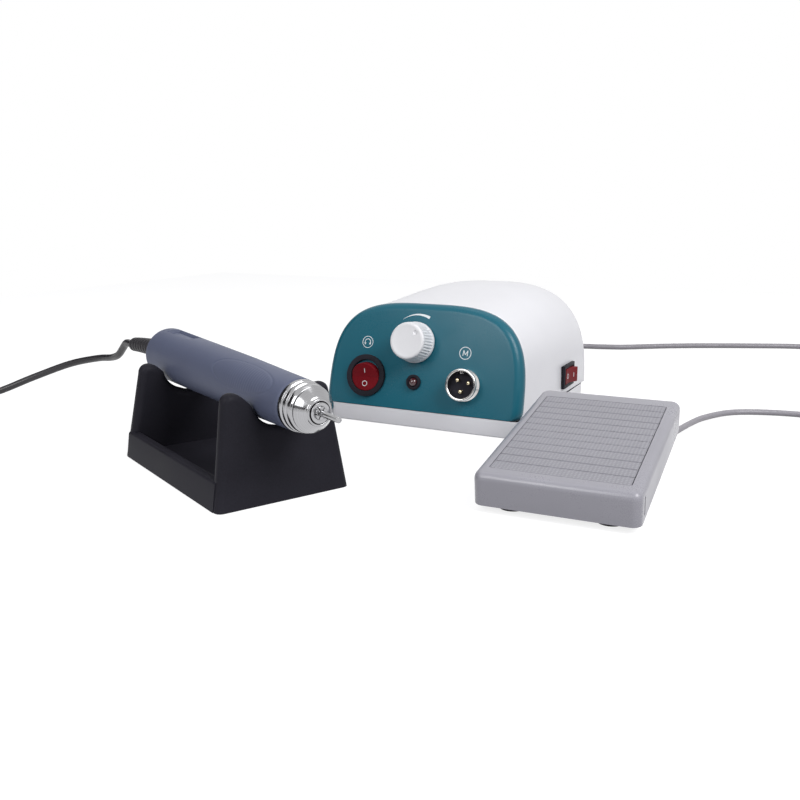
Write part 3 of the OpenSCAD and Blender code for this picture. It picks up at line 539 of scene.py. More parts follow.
def bridged(bm, loops):
    """Faces from each row of edges to the next."""
    for near, far in zip(loops, loops[1:]):
        bmesh.ops.bridge_loops(bm, edges=[*near, *far])


def turned_up(bm, rank):
    """Turns a skin so that the face that ranks first looks up."""
    bmesh.ops.recalc_face_normals(bm, faces=bm.faces)
    bm.faces.ensure_lookup_table()
    if max(bm.faces, key=rank).normal.z < 0:
        bmesh.ops.reverse_faces(bm, faces=bm.faces)


def trimmed(bm, up):
    """Takes off what lies below a plane through the origin, and gives the cut's geometry."""
    whole = [*bm.verts, *bm.edges, *bm.faces]
    return bmesh.ops.bisect_plane(
        bm, geom=whole, plane_co=(0, 0, 0), plane_no=up, clear_inner=True
    )["geom_cut"]


def sink(vert, depth):
    """Moves a point of a turned shape towards the axis."""
    keep = 1 - depth / math.hypot(vert.co.x, vert.co.y)
    vert.co.x *= keep
    vert.co.y *= keep


def mesh_of(name, bm):
    """The mesh of a bmesh, which is freed."""
    mesh = bpy.data.meshes.new(name)
    bm.to_mesh(mesh)
    bm.free()
    return mesh


def new_object(name, data):
    """An object in the scene."""
    thing = bpy.data.objects.new(name, data)
    bpy.context.scene.collection.objects.link(thing)
    return thing


def joined(*parts):
    """Several meshes in one; each is a mesh, or a mesh and its frame."""
    whole = bmesh.new()
    for part in parts:
        bm, frame_of = part if isinstance(part, tuple) else (part, TABLE)
        bm.transform(frame_of)
        mesh = mesh_of("part", bm)
        whole.from_mesh(mesh)
        bpy.data.meshes.remove(mesh)
    return whole


def make(name, bm, where=TABLE, angle=35.0):
    """An object from a mesh in millimetres, with its place in the mesh."""
    bm.transform(METRES @ where)
    bmesh.ops.remove_doubles(bm, verts=bm.verts, dist=1e-7)
    return shade(new_object(name, mesh_of(name, bm)), angle)


def shade(thing, angle=35.0):
    """Smooth shading that keeps edges sharper than an angle."""
    thing.data.shade_smooth()
    thing.data.set_sharp_from_angle(angle=math.radians(angle))
    return thing


def settle(thing):
    """Applies the piece's modifiers to its mesh."""
    graph = bpy.context.evaluated_depsgraph_get()
    old = thing.data
    thing.data = bpy.data.meshes.new_from_object(thing.evaluated_get(graph))
    thing.modifiers.clear()
    thing.data.name = thing.name
    bpy.data.meshes.remove(old)
    return shade(thing)


def thicken(thing, width):
    """Gives an outward-facing skin a wall on its inside."""
    wall = thing.modifiers.new("wall", "SOLIDIFY")
    wall.thickness = width * 0.001
    wall.offset = -1
    wall.use_even_offset = True
    return thing


def carve(thing, cutter_bm, where=TABLE, operation="DIFFERENCE"):
    """Cuts a shape out of a piece, or joins it to the piece."""
    cutter = make("cutter", cutter_bm, where)
    tool = thing.modifiers.new("cut", "BOOLEAN")
    tool.operation = operation
    tool.solver = "EXACT"
    tool.object = cutter
    settle(thing)
    mesh = cutter.data
    bpy.data.objects.remove(cutter)
    bpy.data.meshes.remove(mesh)
    return thing


def fit(thing, body, material, *nodes, slot=None):
    """Gives a piece its finish, its body and the solids that it stands for."""
    thing.data.materials.clear()
    thing.data.materials.append(look(material))
    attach(thing, body)
    if nodes:
        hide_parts(*nodes)
    return thing


def solid_copy(node):
    """The mesh of a solid in millimetres, its doubles merged."""
    bm = bmesh.new()
    bm.from_mesh(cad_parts[node].data)
    bm.transform(MILLIMETRES)
    bmesh.ops.remove_doubles(bm, verts=bm.verts, dist=1e-4)
    return bm


def dressed(node, body, material, width=0.3, slot=None, segments=2):
    """A copy of a solid with its edges eased, in the solid's place."""
    bm = solid_copy(node)
    bmesh.ops.dissolve_limit(bm, angle_limit=math.radians(0.6), verts=bm.verts, edges=bm.edges)
    if width:
        soften(bm, corners(bm), width, segments)
    return fit(make(node + "_piece", bm), body, material, node, slot=slot)


def painted(node, material):
    """Gives a solid that stays its finish."""
    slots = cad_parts[node].data.materials
    slots.clear()
    slots.append(look(material))


# Control unit


def case_cover():
    """The white arched cover, with the opening of the power switch."""
    foot = PANEL_VIEW_T * math.tan(math.radians(LEAN))
    front = [
        PANEL @ Vector((x + PANEL_SHIFT, max(y, foot), -PANEL_VIEW_T))
        for x, y in arch(PANEL_A, PANEL_VIEW_B, power=PANEL_POWER)
    ]
    rear = [Vector((x, UNIT_D / 2, BASE_H + z)) for x, z in arch(UNIT_W / 2, ARCH_H + REAR_RISE)]
    bm = bmesh.new()
    loops = []
    for i in range(COVER_RIMS + 1):
        back = i / COVER_RIMS
        swell = DOME * math.sin(math.pi * back**DOME_SKEW)
        rim = [a.lerp(b, back) for a, b in zip(front, rear)]
        rim = [bm.verts.new((x, y, z + swell * (z - BASE_H) / ARCH_H)) for x, y, z in rim]
        loops.append([bm.edges.new(pair) for pair in zip(rim, rim[1:])])
    bridged(bm, loops)
    turned_up(bm, lambda face: face.calc_center_median().z)
    cover = thicken(make("case_cover", bm), WALL)
    eased = cover.modifiers.new("eased", "BEVEL")
    eased.width = 0.0005
    eased.segments = 3
    eased.limit_method = "ANGLE"
    eased.angle_limit = math.radians(50)
    settle(cover)
    y, z = POWER_AT[1:]
    flange = slab(8, POWER_L + 0.2, POWER_H + 0.2, 0)
    carve(cover, flange, place(POWER_SEAT + 4, y, z - POWER_H / 2 - 0.1))
    body = slab(24, POWER_L - 2.2, POWER_H - 1.2, 0)
    carve(cover, body, place(POWER_SEAT, y, z - POWER_H / 2 + 0.6))
    return fit(cover, "table_set", "shell_white", "unit_cover")


def case_base():
    """The white base tray."""
    bm = slab(UNIT_W, UNIT_D, BASE_H, 8, segments=12)
    soften(bm, level(bm, 0), 1.0, 3)
    top = [f for f in bm.faces if f.normal.z > 0.99 and f.calc_center_median().z > BASE_H - 0.01]
    bmesh.ops.inset_region(bm, faces=top, thickness=RIM_T, use_even_offset=True)
    inside = list({v for f in top for v in f.verts})
    bmesh.ops.translate(bm, verts=inside, vec=(0, 0, WALL - BASE_H))
    return fit(make("case_base", bm), "table_set", "shell_white", "unit_base")


def panel_outline(count=150):
    """The panel's closed outline at even steps, and its outward directions."""
    corner = PANEL_CORNER
    outline = arch(PANEL_A, PANEL_VIEW_B, 900, PANEL_POWER)
    side = [Vector((x, y)) for x, y in outline if y > corner]
    right = []
    for i in range(1, 9):
        t = math.radians(10 * i)
        right.append(Vector((PANEL_A - corner * (1 - math.sin(t)), corner * (1 - math.cos(t)))))
    left = [Vector((-p.x, p.y)) for p in reversed(right)]
    foot = [Vector((PANEL_A - corner, 0))]
    whole = [*foot, *right, *side, *left, Vector((corner - PANEL_A, 0)), *foot]
    marks = [0.0]
    for a, b in zip(whole, whole[1:]):
        marks.append(marks[-1] + (b - a).length)
    points, k = [], 0
    for i in range(count):
        at = marks[-1] * i / count
        while marks[k + 1] < at:
            k += 1
        point = whole[k].lerp(whole[k + 1], (at - marks[k]) / (marks[k + 1] - marks[k]))
        points.append(point + Vector((PANEL_SHIFT, 0)))
    ways = []
    for i, point in enumerate(points):
        ahead = points[(i + 1) % count] - points[i - 1]
        ways.append(Vector((ahead.y, -ahead.x)).normalized())
    return points, ways


def panel_shell(rounding):
    """The teal front panel: a rounded shell that leans on the case."""
    points, ways = panel_outline()
    rings = [(0.0, -PANEL_VIEW_T), (0.0, -rounding)]
    for i in range(1, 10):
        turn = math.radians(10 * i)
        rings.append((rounding * (1 - math.cos(turn)), rounding * (math.sin(turn) - 1)))
    bm = bmesh.new()
    loops = []
    for inset, h in rings:
        loop = []
        for point, way in zip(points, ways):
            step = Vector((way.x, way.y * (CORNER_PULL if way.y < 0 else 1.0))) * inset
            loop.append(bm.verts.new((*(point - step), h)))
        loops.append([bm.edges.new((a, b)) for a, b in zip(loop, [*loop[1:], loop[0]])])
    bridged(bm, loops)
    bmesh.ops.edgeloop_fill(bm, edges=loops[-1])
    turned_up(bm, lambda face: face.calc_area())
    trimmed(bm, PANEL.to_3x3().inverted() @ Vector((0, 0, 1)))
    shell = settle(thicken(make("panel_shell", bm, PANEL), FACE_T))
    return fit(shell, "table_set", "panel_teal", "front_panel")


def ring_mark(radius, stroke, start=0.0, end=360.0, steps=40):
    """A printed ring or arc."""
    low, high = radius - stroke / 2, radius + stroke / 2
    if end - start >= 360:
        return lathe([(low, 0), (high, 0), (high, MARK_T), (low, MARK_T)], steps, closed=True)
    turns = [math.radians(start + (end - start) * i / steps) for i in range(steps + 1)]
    outer = [(high * math.cos(t), high * math.sin(t)) for t in turns]
    inner = [(low * math.cos(t), low * math.sin(t)) for t in reversed(turns)]
    return raised([*outer, *inner], MARK_T)


def stroke_mark(a, b, width):
    """A printed straight stroke."""
    a, b = Vector(a), Vector(b)
    side = (b - a).normalized().orthogonal() * width / 2
    return raised([a + side, a - side, b - side, b + side], MARK_T)


def panel_marks():
    """The printed marks: the rising arc over the knob, the direction mark and the motor mark."""
    steps, r = 36, 15.6
    sweep = [math.radians(128 - 63 * i / steps) for i in range(steps + 1)]
    wide = [0.05 + 0.75 * (i / steps) ** 1.3 for i in range(steps + 1)]
    outer = [((r + w) * math.cos(t), (r + w) * math.sin(t)) for t, w in zip(sweep, wide)]
    inner = [((r - w) * math.cos(t), (r - w) * math.sin(t)) for t, w in zip(sweep, wide)]
    arc = (raised([*outer, *reversed(inner)], MARK_T), place(*KNOB_AT, 0))
    turn_at = place(-36.0, 36.1, 0)
    end = math.radians(-28)
    tip = Vector((1.75 * math.cos(end), 1.75 * math.sin(end)))
    head = [tip + Vector((-0.75, 0.35)), tip + Vector((0.0, -0.8)), tip + Vector((0.7, 0.42))]
    tail = [Vector((-p.x, p.y)) for p in head]
    arrows = [raised(head, MARK_T), raised(tail, MARK_T)]
    direction = [ring_mark(3.25, 0.34), ring_mark(1.75, 0.36, -25, 205), *arrows]
    motor_at = place(24.0, 34.1, 0)
    turns = [(-1.35, -1.5), (-0.95, 1.5), (0.05, -0.9), (1.45, 1.5), (1.2, -1.5)]
    legs = [stroke_mark(a, b, 0.38) for a, b in zip(turns, turns[1:])]
    motor = [(bm, motor_at) for bm in (ring_mark(3.3, 0.36), *legs)]
    marks = joined(arc, *[(bm, turn_at) for bm in direction], *motor)
    return fit(make("panel_marks", marks, PANEL), "table_set", "print_white", slot="knob_white")


class MICROMOTOR_OT_case(bpy.types.Operator):
    """Builds the case: cover, base, front panel with its marks, rear panel and rear fittings"""

    bl_idname = "micromotor.case"
    bl_label = "Case"

    def execute(self, context):
        case_cover()
        case_base()
        panel_shell(context.scene.micromotor_sizes.panel_round)
        panel_marks()
        painted("rear_panel", "shell_white")
        painted("unit_pads", "black_rubber")
        dressed("mains_gland", "table_set", "grey_cable", 0.25)
        dressed("pedal_jack", "table_set", "black_plastic", 0.3)
        dressed("fuse_holder", "table_set", "black_plastic", 0.4)
        dressed("fuse_cap", "fuse_cap", "black_plastic", 0.3)
        return {"FINISHED"}


def speed_knob(ribs, depth):
    """The ribbed speed knob."""
    r, z = KNOB_R, KNOB_TOP
    top = rounded([(10.2, 12.1), (9.7, z - 0.2), (8.8, z), (7.6, z - 0.1), (0, z - 0.3)], 0.5)
    side = [(11.2 - 0.96 * i / 6, 3.4 + 8.4 * i / 6) for i in range(7)]
    hub = [(0, 5.4), (4.2, 5.4), (4.2, 0.6)]
    skirt = [(10.9, 0.6), (r, 1.2), (r, 2.7), (r - 0.1, 3.1)]
    bm = lathe([*hub, *skirt, *side, *top], ribs * 6)
    for v in bm.verts:
        if 3.2 < v.co.z < 12.15 and math.hypot(v.co.x, v.co.y) > 9:
            turn = math.atan2(v.co.y, v.co.x)
            fade = min(1, (12.3 - v.co.z) / 0.6)
            sink(v, depth * fade * (0.5 + 0.5 * math.cos(ribs * turn)))
    knob = make("speed_knob_cap", bm, on_panel(KNOB_AT))
    dimple = bmesh.new()
    bmesh.ops.create_icosphere(dimple, subdivisions=3, radius=1.5)
    turn = math.radians(45)
    spot = Vector((6.6 * math.cos(turn), 6.6 * math.sin(turn), z + 0.65))
    carve(knob, dimple, on_panel(KNOB_AT) @ place(*spot))
    return fit(knob, "speed_control", "knob_white", "speed_knob")


def switch_marks(name, body, frames):
    """A stroke and a ring on the two halves of a rocker."""
    on, off = frames
    bar = stroke_mark((0, -1.3), (0, 1.3), 0.36)
    marks = joined((bar, on), (ring_mark(1.4, 0.32), off))
    return fit(make(name, marks), body, "print_white", slot="knob_white")


def socket_collar():
    """The plated collar of the handpiece socket, threaded outside, with its key inside."""
    r, bore, h = SOCKET_R, SOCKET_BORE, SOCKET_H
    thread = []
    for i in range(7):
        z = 1.2 + 0.62 * i
        thread += [(r, z), (r - 0.22, z + 0.31)]
    rim = rounded([(r, 5.6), (r, h), (bore, h), (bore, 5.5)], 0.6, 4)
    foot = [(8.0, -9), (8.0, -0.01), (8.0, 0), (r, 0), (r, 1.0)]
    collar = lathe([*foot, *thread, *rim, (bore, -9)], 120, closed=True)
    bm = joined(collar, (slab(2, 2, 3.8, 0.3, 2.6), place(0, bore - 0.4, 0)))
    shell = make("socket_collar", bm, on_panel(SOCKET_AT))
    return fit(shell, "table_set", "chrome", "socket_shell")


def direction_switch():
    """The round switch: its bezel, and its rocker with the marks."""
    dressed("direction_switch", "table_set", "black_plastic", 0.8, segments=4)
    rocker = dressed("direction_rocker", "direction_rocker", "red_rocker", 0.5, segments=3)
    spot = METRES @ on_panel(DIR_AT)
    rocker.data.transform(spot @ Matrix.Diagonal(ROCKER_GROWTH) @ spot.inverted())
    tilt = on_panel(DIR_AT, -2) @ place(0, 0, 0, ROCK) @ place(0, 0, 3.6)
    high, low = tilt @ place(0, 0, 0, ROCK), tilt @ place(0, 0, 0, -ROCK)
    marks = [high @ place(0, 3.6, 0), low @ place(0, -3.9, 0)]
    return switch_marks("direction_marks", "direction_rocker", marks)


def power_switch():
    """The switch on the case's right side: its bezel, and its rocker with the marks."""
    dressed("power_switch", "table_set", "black_plastic", 0.4, segments=3)
    dressed("power_rocker", "power_rocker", "red_rocker", 0.4, segments=3)
    swing = place(*POWER_AT, -90 - ROCK, "Z") @ place(0, 3.2, 0)
    flat = place(0, 0, 0, -90)
    near = swing @ place(0, 0, 0, ROCK, "Z") @ place(3.8, 0, 0) @ flat
    far = swing @ place(0, 0, 0, -ROCK, "Z") @ place(-3.8, 0, 0) @ flat
    return switch_marks("power_marks", "power_rocker", [far, near])


def lamp_collar():
    """The black collar of the lamp."""
    r, bore = LAMP_R, LAMP_R - 1.7
    bezel = [(bore, -9), (r - 1.2, -9), (r - 1.2, 0), (r, 0), (r, 1.8), (bore, 1.8), (bore, -9)]
    ring = make("lamp_collar", lathe(rounded(bezel, 0.5), 64), on_panel(LAMP_AT))
    return fit(ring, "table_set", "black_plastic", "lamp_bezel")


class MICROMOTOR_OT_controls(bpy.types.Operator):
    """Builds the speed knob, both switches, the lamp and the handpiece socket"""

    bl_idname = "micromotor.controls"
    bl_label = "Controls"

    def execute(self, context):
        sizes = context.scene.micromotor_sizes
        speed_knob(sizes.knob_ribs, sizes.knob_rib_depth)
        direction_switch()
        power_switch()
        lamp_collar()
        dressed("lamp_lens", "table_set", "lamp_red", 0)
        socket_collar()
        dressed("socket_insert", "table_set", "black_plastic", 0)
        dressed("socket_pins", "table_set", "brass", 0.5, segments=3)
        return {"FINISHED"}


# Rest and handpiece


def rest_wall(drop, top, axis_z, grip_r, lean, rounding):
    """An end wall of the rest: two horns, and a cradle that clears the grip."""
    drop = drop / math.cos(math.radians(lean))
    cradle = []
    for i in range(-30, 31):
        x = HORN_X * i / 30
        z = drop + (top - drop) * ease(abs(i) / 30)
        if abs(x) < grip_r:
            z = min(z, axis_z - math.sqrt((grip_r + 0.35) ** 2 - x * x))
        cradle.append((x, z))
    turns = [math.radians(11.25 * i) for i in range(1, 9)]
    horn = [(HORN_X + HORN_R * math.sin(t), top - HORN_R * (1 - math.cos(t))) for t in turns]
    foot = [(REST_W / 2 + FOOT_SPREAD, -4), (-REST_W / 2 - FOOT_SPREAD, -4)]
    bm = raised([*cradle, *horn, *foot, *[(-x, y) for x, y in reversed(horn)]], REST_T, -REST_T)
    rims = [e for z in (0, -REST_T) for e in level(bm, z) if max(v.co.y for v in e.verts) > 0]
    soften(bm, rims, rounding, 5)
    bm.transform(place(0, -REST_L / 2, 0, 90 - lean))
    cut = [e for e in trimmed(bm, (0, 0, 1)) if isinstance(e, bmesh.types.BMEdge)]
    bmesh.ops.edgeloop_fill(bm, edges=cut)
    bmesh.ops.recalc_face_normals(bm, faces=bm.faces)
    return bm


class MICROMOTOR_OT_rest(bpy.types.Operator):
    """Builds the black handpiece rest"""

    bl_idname = "micromotor.rest"
    bl_label = "Rest"

    def execute(self, context):
        rounding = context.scene.micromotor_sizes.rest_round
        rest = make("handpiece_rest", rest_wall(*NEAR_WALL, rounding), REST)
        half_turn = place(0, 0, 0, 180, "Z")
        edge = REST_W / 2 + SILL_SPREAD
        section = [(edge, 0), (edge - 1.7, SILL_H), (edge - 6.2, SILL_H), (edge - 6.2, 0)]
        tray = slab(REST_W - 10, REST_L - 8, 3, 0)
        carve(rest, tray, REST, "UNION")
        for side in (TABLE, half_turn):
            sill = raised(section, REST_L - 8, -REST_L / 2 + 4)
            soften(sill, [e for e in upright(sill) if e.verts[0].co.y > 1], 1.1, 3)
            carve(rest, sill, REST @ side @ place(0, 0, 0, 90), "UNION")
        carve(rest, rest_wall(*TAIL_WALL, rounding), REST @ half_turn, "UNION")
        fit(rest, "table_set", "black_plastic", "stand")
        return {"FINISHED"}


def grip_radius(z):
    """Radius of the grip along its length."""
    if z < 4:
        return TAIL_R - 4 + math.sqrt(max(0.0, 16 - (4 - z) ** 2))
    bend = GRIP_L * 0.65
    if z < bend:
        return TAIL_R + (WAIST_R - TAIL_R) * (z - 4) / (bend - 4)
    return WAIST_R + (FRONT_R - WAIST_R) * (z - bend) / (GRIP_L - bend)


def grip_relief(z, turn, ribs):
    """Depth of the grip's relief: two ribbed finger pads, and the slot on top of the tail."""
    depth = 0.0
    for side in (-PAD_TURN, PAD_TURN):
        across = math.radians((turn - side + 180) % 360 - 180) * grip_radius(z)
        reach = math.hypot((z - PAD_Z) / PAD_HALF_L, across / PAD_HALF_W)
        depth += 0.16 * math.exp(-(((reach - 1) / 0.035) ** 2))
        if reach < 0.96:
            fade = min(1.0, (0.96 - reach) * 8) * min(1.0, max(0.0, (z - 84) / 22))
            depth += ribs * fade * (0.5 + 0.5 * math.cos(2 * math.pi * z / 1.9))
    across = abs(math.radians((turn + 180) % 360 - 180)) * grip_radius(z)
    if across < SLOT_HALF_W + 0.5 and SLOT_FROM < z < SLOT_TO:
        ends = min((z - SLOT_FROM) / 0.6, (SLOT_TO - z) / 0.6)
        depth += 1.5 * min(1.0, (SLOT_HALF_W + 0.5 - across) / 0.5, ends)
    return depth


def grip_sleeve(ribs):
    """The soft sleeve of the handpiece."""
    heights = [4 - 4 * math.cos(math.radians(9 * i)) for i in range(11)]
    heights += [4.5 + 0.5 * i for i in range(68)] + [39 + 2.0 * i for i in range(18)]
    heights += [74 + 0.38 * i for i in range(148)] + [131.0, 133.0, 135.0, 136.4]
    outer = [(grip_radius(z), z) for z in heights]
    front = [(FRONT_R - 0.25, 136.85), (FRONT_R - 0.6, GRIP_L), (GRIP_BORE, GRIP_L)]
    bm = lathe([(GRIP_BORE, 0.5), (TAIL_R - 4.6, 0), *outer, *front], 200, closed=True)
    for v in bm.verts:
        if math.hypot(v.co.x, v.co.y) > GRIP_BORE + 1.5 and 4 < v.co.z < 136:
            sink(v, grip_relief(v.co.z, math.degrees(math.atan2(v.co.x, v.co.y)), ribs))
    return fit(make("grip_cover", bm, HAND), "handpiece", "grip_blue", "grip_sleeve")


def cable_boot():
    """The ribbed strain relief at the handpiece's tail."""
    profile = [(0, -BOOT_L), (2.4, -BOOT_L), (BOOT_R - 0.4, -BOOT_L)]
    for i in range(11):
        z = -BOOT_L + 1 + 4.2 * i
        r = BOOT_R + 1.3 * (z + BOOT_L) / BOOT_L
        profile += [(r, z), (r + 0.05, z + 2.9), (r - 0.75, z + 3.2), (r - 0.75, z + 4.0)]
    profile += [(BOOT_R + 1.3, -2.6), (BOOT_R + 1.3, 0), (BOOT_R, 0), (BOOT_R, 8), (0, 8)]
    bm = lathe(rounded(profile, 0.3, 2), 48)
    for v in bm.verts:
        v.co.y -= BOOT_SAG * (min(0.0, v.co.z) / BOOT_L) ** 2
    return fit(make("cable_boot_ribbed", bm, HAND), "handpiece", "black_rubber", "cable_boot")


def chuck_ring():
    """The turned chuck ring with its two grooves."""
    f, z, bore = FRONT_R, RING_Z, 7.1
    ring = [(bore, z), (f - 0.1, z), (f - 0.1, z + 2.2), (f - 0.9, z + 2.6), (f - 0.9, z + 3.0)]
    ring += [(f - 0.4, z + 3.3), (f - 0.5, z + 5.1), (f - 1.3, z + 5.5), (f - 1.3, z + 5.9)]
    ring += [(f - 0.8, z + 6.2), (f - 1.0, z + RING_L - 0.9), (f - 1.6, z + RING_L)]
    ring += [(bore, z + RING_L), (bore, z)]
    chuck = make("chuck_ring_turned", lathe(rounded(ring, 0.22, 3), 128), HAND)
    return fit(chuck, "chuck_ring", "steel_turned", "chuck_ring", slot="steel")


def nose_cone():
    """The turned nose in front of the chuck ring, with its neck inside the ring."""
    z, bore, neck = RING_Z + RING_L + 0.3, 4.6, 120
    nose = [(bore, neck), (7.6, neck), (7.6, 126), (7.0, 126), (7.0, z), (8.8, z), (9.2, z + 0.6)]
    nose += [(6.2, NOSE_Z - 1.4), (5.6, NOSE_Z - 1), (5.4, NOSE_Z), (bore, NOSE_Z), (bore, neck)]
    cone = make("nose_turned", lathe(rounded(nose, 0.25, 3), 128), HAND)
    return fit(cone, "handpiece", "steel_turned", "nose_cone", slot="steel")


class MICROMOTOR_OT_handpiece(bpy.types.Operator):
    """Builds the handpiece: sleeve, boot, chuck ring and nose"""

    bl_idname = "micromotor.handpiece"
    bl_label = "Handpiece"

    def execute(self, context):
        grip_sleeve(context.scene.micromotor_sizes.pad_rib_depth)
        cable_boot()
        chuck_ring()
        nose_cone()
        for node in ("collet", "bur", "spindle"):
            dressed(node, "spindle", "steel_turned", 0.1, "steel")
        painted("rear_cap", "black_plastic")
        return {"FINISHED"}


# Pedal


def treadle_shell(rounding):
    """The grey treadle: a hollow shell with a sunk bed for the mat and a slot at each pin's end."""
    bm = slab(PEDAL_W + 2.2, PEDAL_L + 2.0, TREADLE_H + 1.0, 4, TREADLE_Z - 0.7, 8)
    soften(bm, level(bm, TREADLE_TOP + 0.3), rounding, 7)
    below = [f for f in bm.faces if f.normal.z < -0.9]
    bmesh.ops.delete(bm, geom=below, context="FACES_ONLY")
    shell = settle(thicken(make("treadle_shell", bm, TREADLE), TREADLE_T))
    bed = slab(MAT_W + 0.7, MAT_L + 0.7, 4, 1.2, TREADLE_TOP - 0.9, 4)
    carve(shell, bed, TREADLE @ place(0, MAT_Y, 0))
    for side in (-1, 1):
        slot = slab(2.4, 1.6, 8, 0.5, PIN_Z - 3.4, 3)
        carve(shell, slot, TREADLE @ place(side * (PEDAL_W / 2 + 1.1), PIN_Y, 0))
    return fit(shell, "treadle", "pedal_grey", "treadle")


def tread_mat(grooves):
    """The grooved tread mat."""
    top, low = TREADLE_TOP + 0.35, TREADLE_TOP - 0.25
    line = [(-MAT_L / 2, TREADLE_TOP - 0.9), (-MAT_L / 2, top - 0.25), (-MAT_L / 2 + 0.25, top)]
    for k in range(1, grooves + 1):
        y = -MAT_L / 2 + k * MAT_L / (grooves + 1)
        line += [(y - 0.45, top), (y - 0.22, low), (y + 0.22, low), (y + 0.45, top)]
    line += [(MAT_L / 2 - 0.25, top), (MAT_L / 2, top - 0.25), (MAT_L / 2, TREADLE_TOP - 0.9)]
    bm = raised(line, MAT_W, -MAT_W / 2)
    across = Matrix(((0, 0, 1, 0), (1, 0, 0, 0), (0, 1, 0, 0), (0, 0, 0, 1)))
    mat = make("tread_mat_grooved", bm, TREADLE @ place(0, MAT_Y, 0) @ across)
    return fit(mat, "treadle", "mat_grey", "tread_mat")


def treadle_spring():
    """The treadle's spring, a copy of its solid."""
    bm = solid_copy("return_spring")
    spring = make("treadle_spring", bm)
    spring.data.materials.append(look("steel"))
    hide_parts("return_spring")
    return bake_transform(spring)


class MICROMOTOR_OT_pedal(bpy.types.Operator):
    """Builds the foot pedal"""

    bl_idname = "micromotor.pedal"
    bl_label = "Pedal"

    def execute(self, context):
        sizes = context.scene.micromotor_sizes
        treadle_shell(sizes.treadle_round)
        tread_mat(sizes.tread_grooves)
        treadle_spring()
        dressed("pedal_base", "table_set", "pedal_dark", 0.3)
        dressed("pedal_feet", "table_set", "black_rubber", 0.6, segments=3)
        dressed("pedal_plug", "table_set", "black_plastic", 0.2)
        return {"FINISHED"}


# Cords


def coil_turns(centre, d, n, ro, end_z, start):
    """A coil: in on the lower layer, out on the upper one, then to the plug's height."""
    step, low, high, last = d + COIL_GAP, d / 2, 1.5 * d + COIL_GAP, 720 * n + 180
    points = []
    for i in range(int(48 * n + 13)):
        a = 15 * i
        if a < 360 * n:
            r, z = ro - step * a / 360, low
        elif a < 360 * n + 180:
            r, z = ro - step * n, low + (high - low) * ease((a - 360 * n) / 180)
        else:
            r = ro - step * (2 * n - (a - 180) / 360)
            z = high if a < last - 90 else high + (end_z - high) * ease((a - last + 90) / 90)
        t = math.radians(start + a)
        points.append(Vector(centre) + Vector((r * math.cos(t), r * math.sin(t), z)))
    first, final = points[1] - points[0], points[-1] - points[-2]
    first.z = final.z = 0
    return [points[0] - d * first.normalized(), *points, points[-1] + d * final.normalized()]


def route(points, turns, d, run_in):
    """A cord's whole line: its free stretch, then its coil."""
    lead = (turns[1] - turns[0]).normalized()
    free = catmull([*map(Vector, points), turns[0] - run_in * lead, turns[0]], 5)
    line = [*free[:-1], *catmull(turns, 2)]
    return [Vector((p.x, p.y, max(p.z, d / 2))) * 0.001 for p in line]


def tube(name, line, d):
    """A round cord along a line, as a mesh."""
    curve = bpy.data.curves.new(name, "CURVE")
    curve.dimensions = "3D"
    curve.bevel_depth = d / 2 * 0.001
    curve.bevel_resolution = 3
    curve.use_fill_caps = True
    spline = curve.splines.new("POLY")
    spline.points.add(len(line) - 1)
    for point, place_at in zip(spline.points, line):
        point.co = (*place_at, 1)
    drawn = new_object(name + "_line", curve)
    bpy.context.view_layer.update()
    graph = bpy.context.evaluated_depsgraph_get()
    mesh = bpy.data.meshes.new_from_object(drawn.evaluated_get(graph))
    bpy.data.objects.remove(drawn)
    bpy.data.curves.remove(curve)
    mesh.name = name
    return shade(new_object(name, mesh), 60)


def cord_tie(name, centre, d, n, ro, turn):
    """A strap round a coil."""
    across, high = (d + COIL_GAP) * n + d + 1.8, 2 * d + COIL_GAP + 0.8
    bm = slab(across, 5.0, high, 0)
    ends = [f for f in bm.faces if abs(f.normal.y) > 0.9]
    bmesh.ops.delete(bm, geom=ends, context="FACES_ONLY")
    soften(bm, [e for e in bm.edges if len(e.link_faces) == 2], 1.6, 4)
    where = place(*centre, turn, "Z") @ place(ro - (d + COIL_GAP) * n / 2, 0, 0)
    strap = settle(thicken(make(name, bm, where), 0.5))
    return fit(strap, "table_set", "black_plastic")


def laid(points, d):
    """Points of a cord that lies on the table."""
    return [(x, y, d / 2) for x, y in points]


def handpiece_cord():
    """The black cord of the handpiece."""
    nod = math.radians(NOD)
    way = REST.to_3x3() @ Vector((0, math.cos(nod), math.sin(nod)))
    way.z -= 2 * BOOT_SAG / BOOT_L
    out = HAND @ Vector((0, -BOOT_SAG, -BOOT_L))
    bends = [(-165, -109, 43), (-171, -106, 39), (-178, -103, 34), (-188, -99, 31)]
    bends += [(-202, -96, 29), (-224, -98, 24), (-247, -107, 15), (-266, -122, 6)]
    d = HAND_CORD_D
    coil = (-300, -176, 0), d, 3.5, 33
    line = route([out, out + 6 * way, *bends], coil_turns(*coil, 10.2, 90), d, 12)
    cord = tube("handpiece_cord", line, d)
    cord.data.materials.append(look("black_cable"))
    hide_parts("hand_cord", "hand_coil")
    tie = cord_tie("handpiece_cord_tie", *coil, 215)
    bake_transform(cord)
    return cord


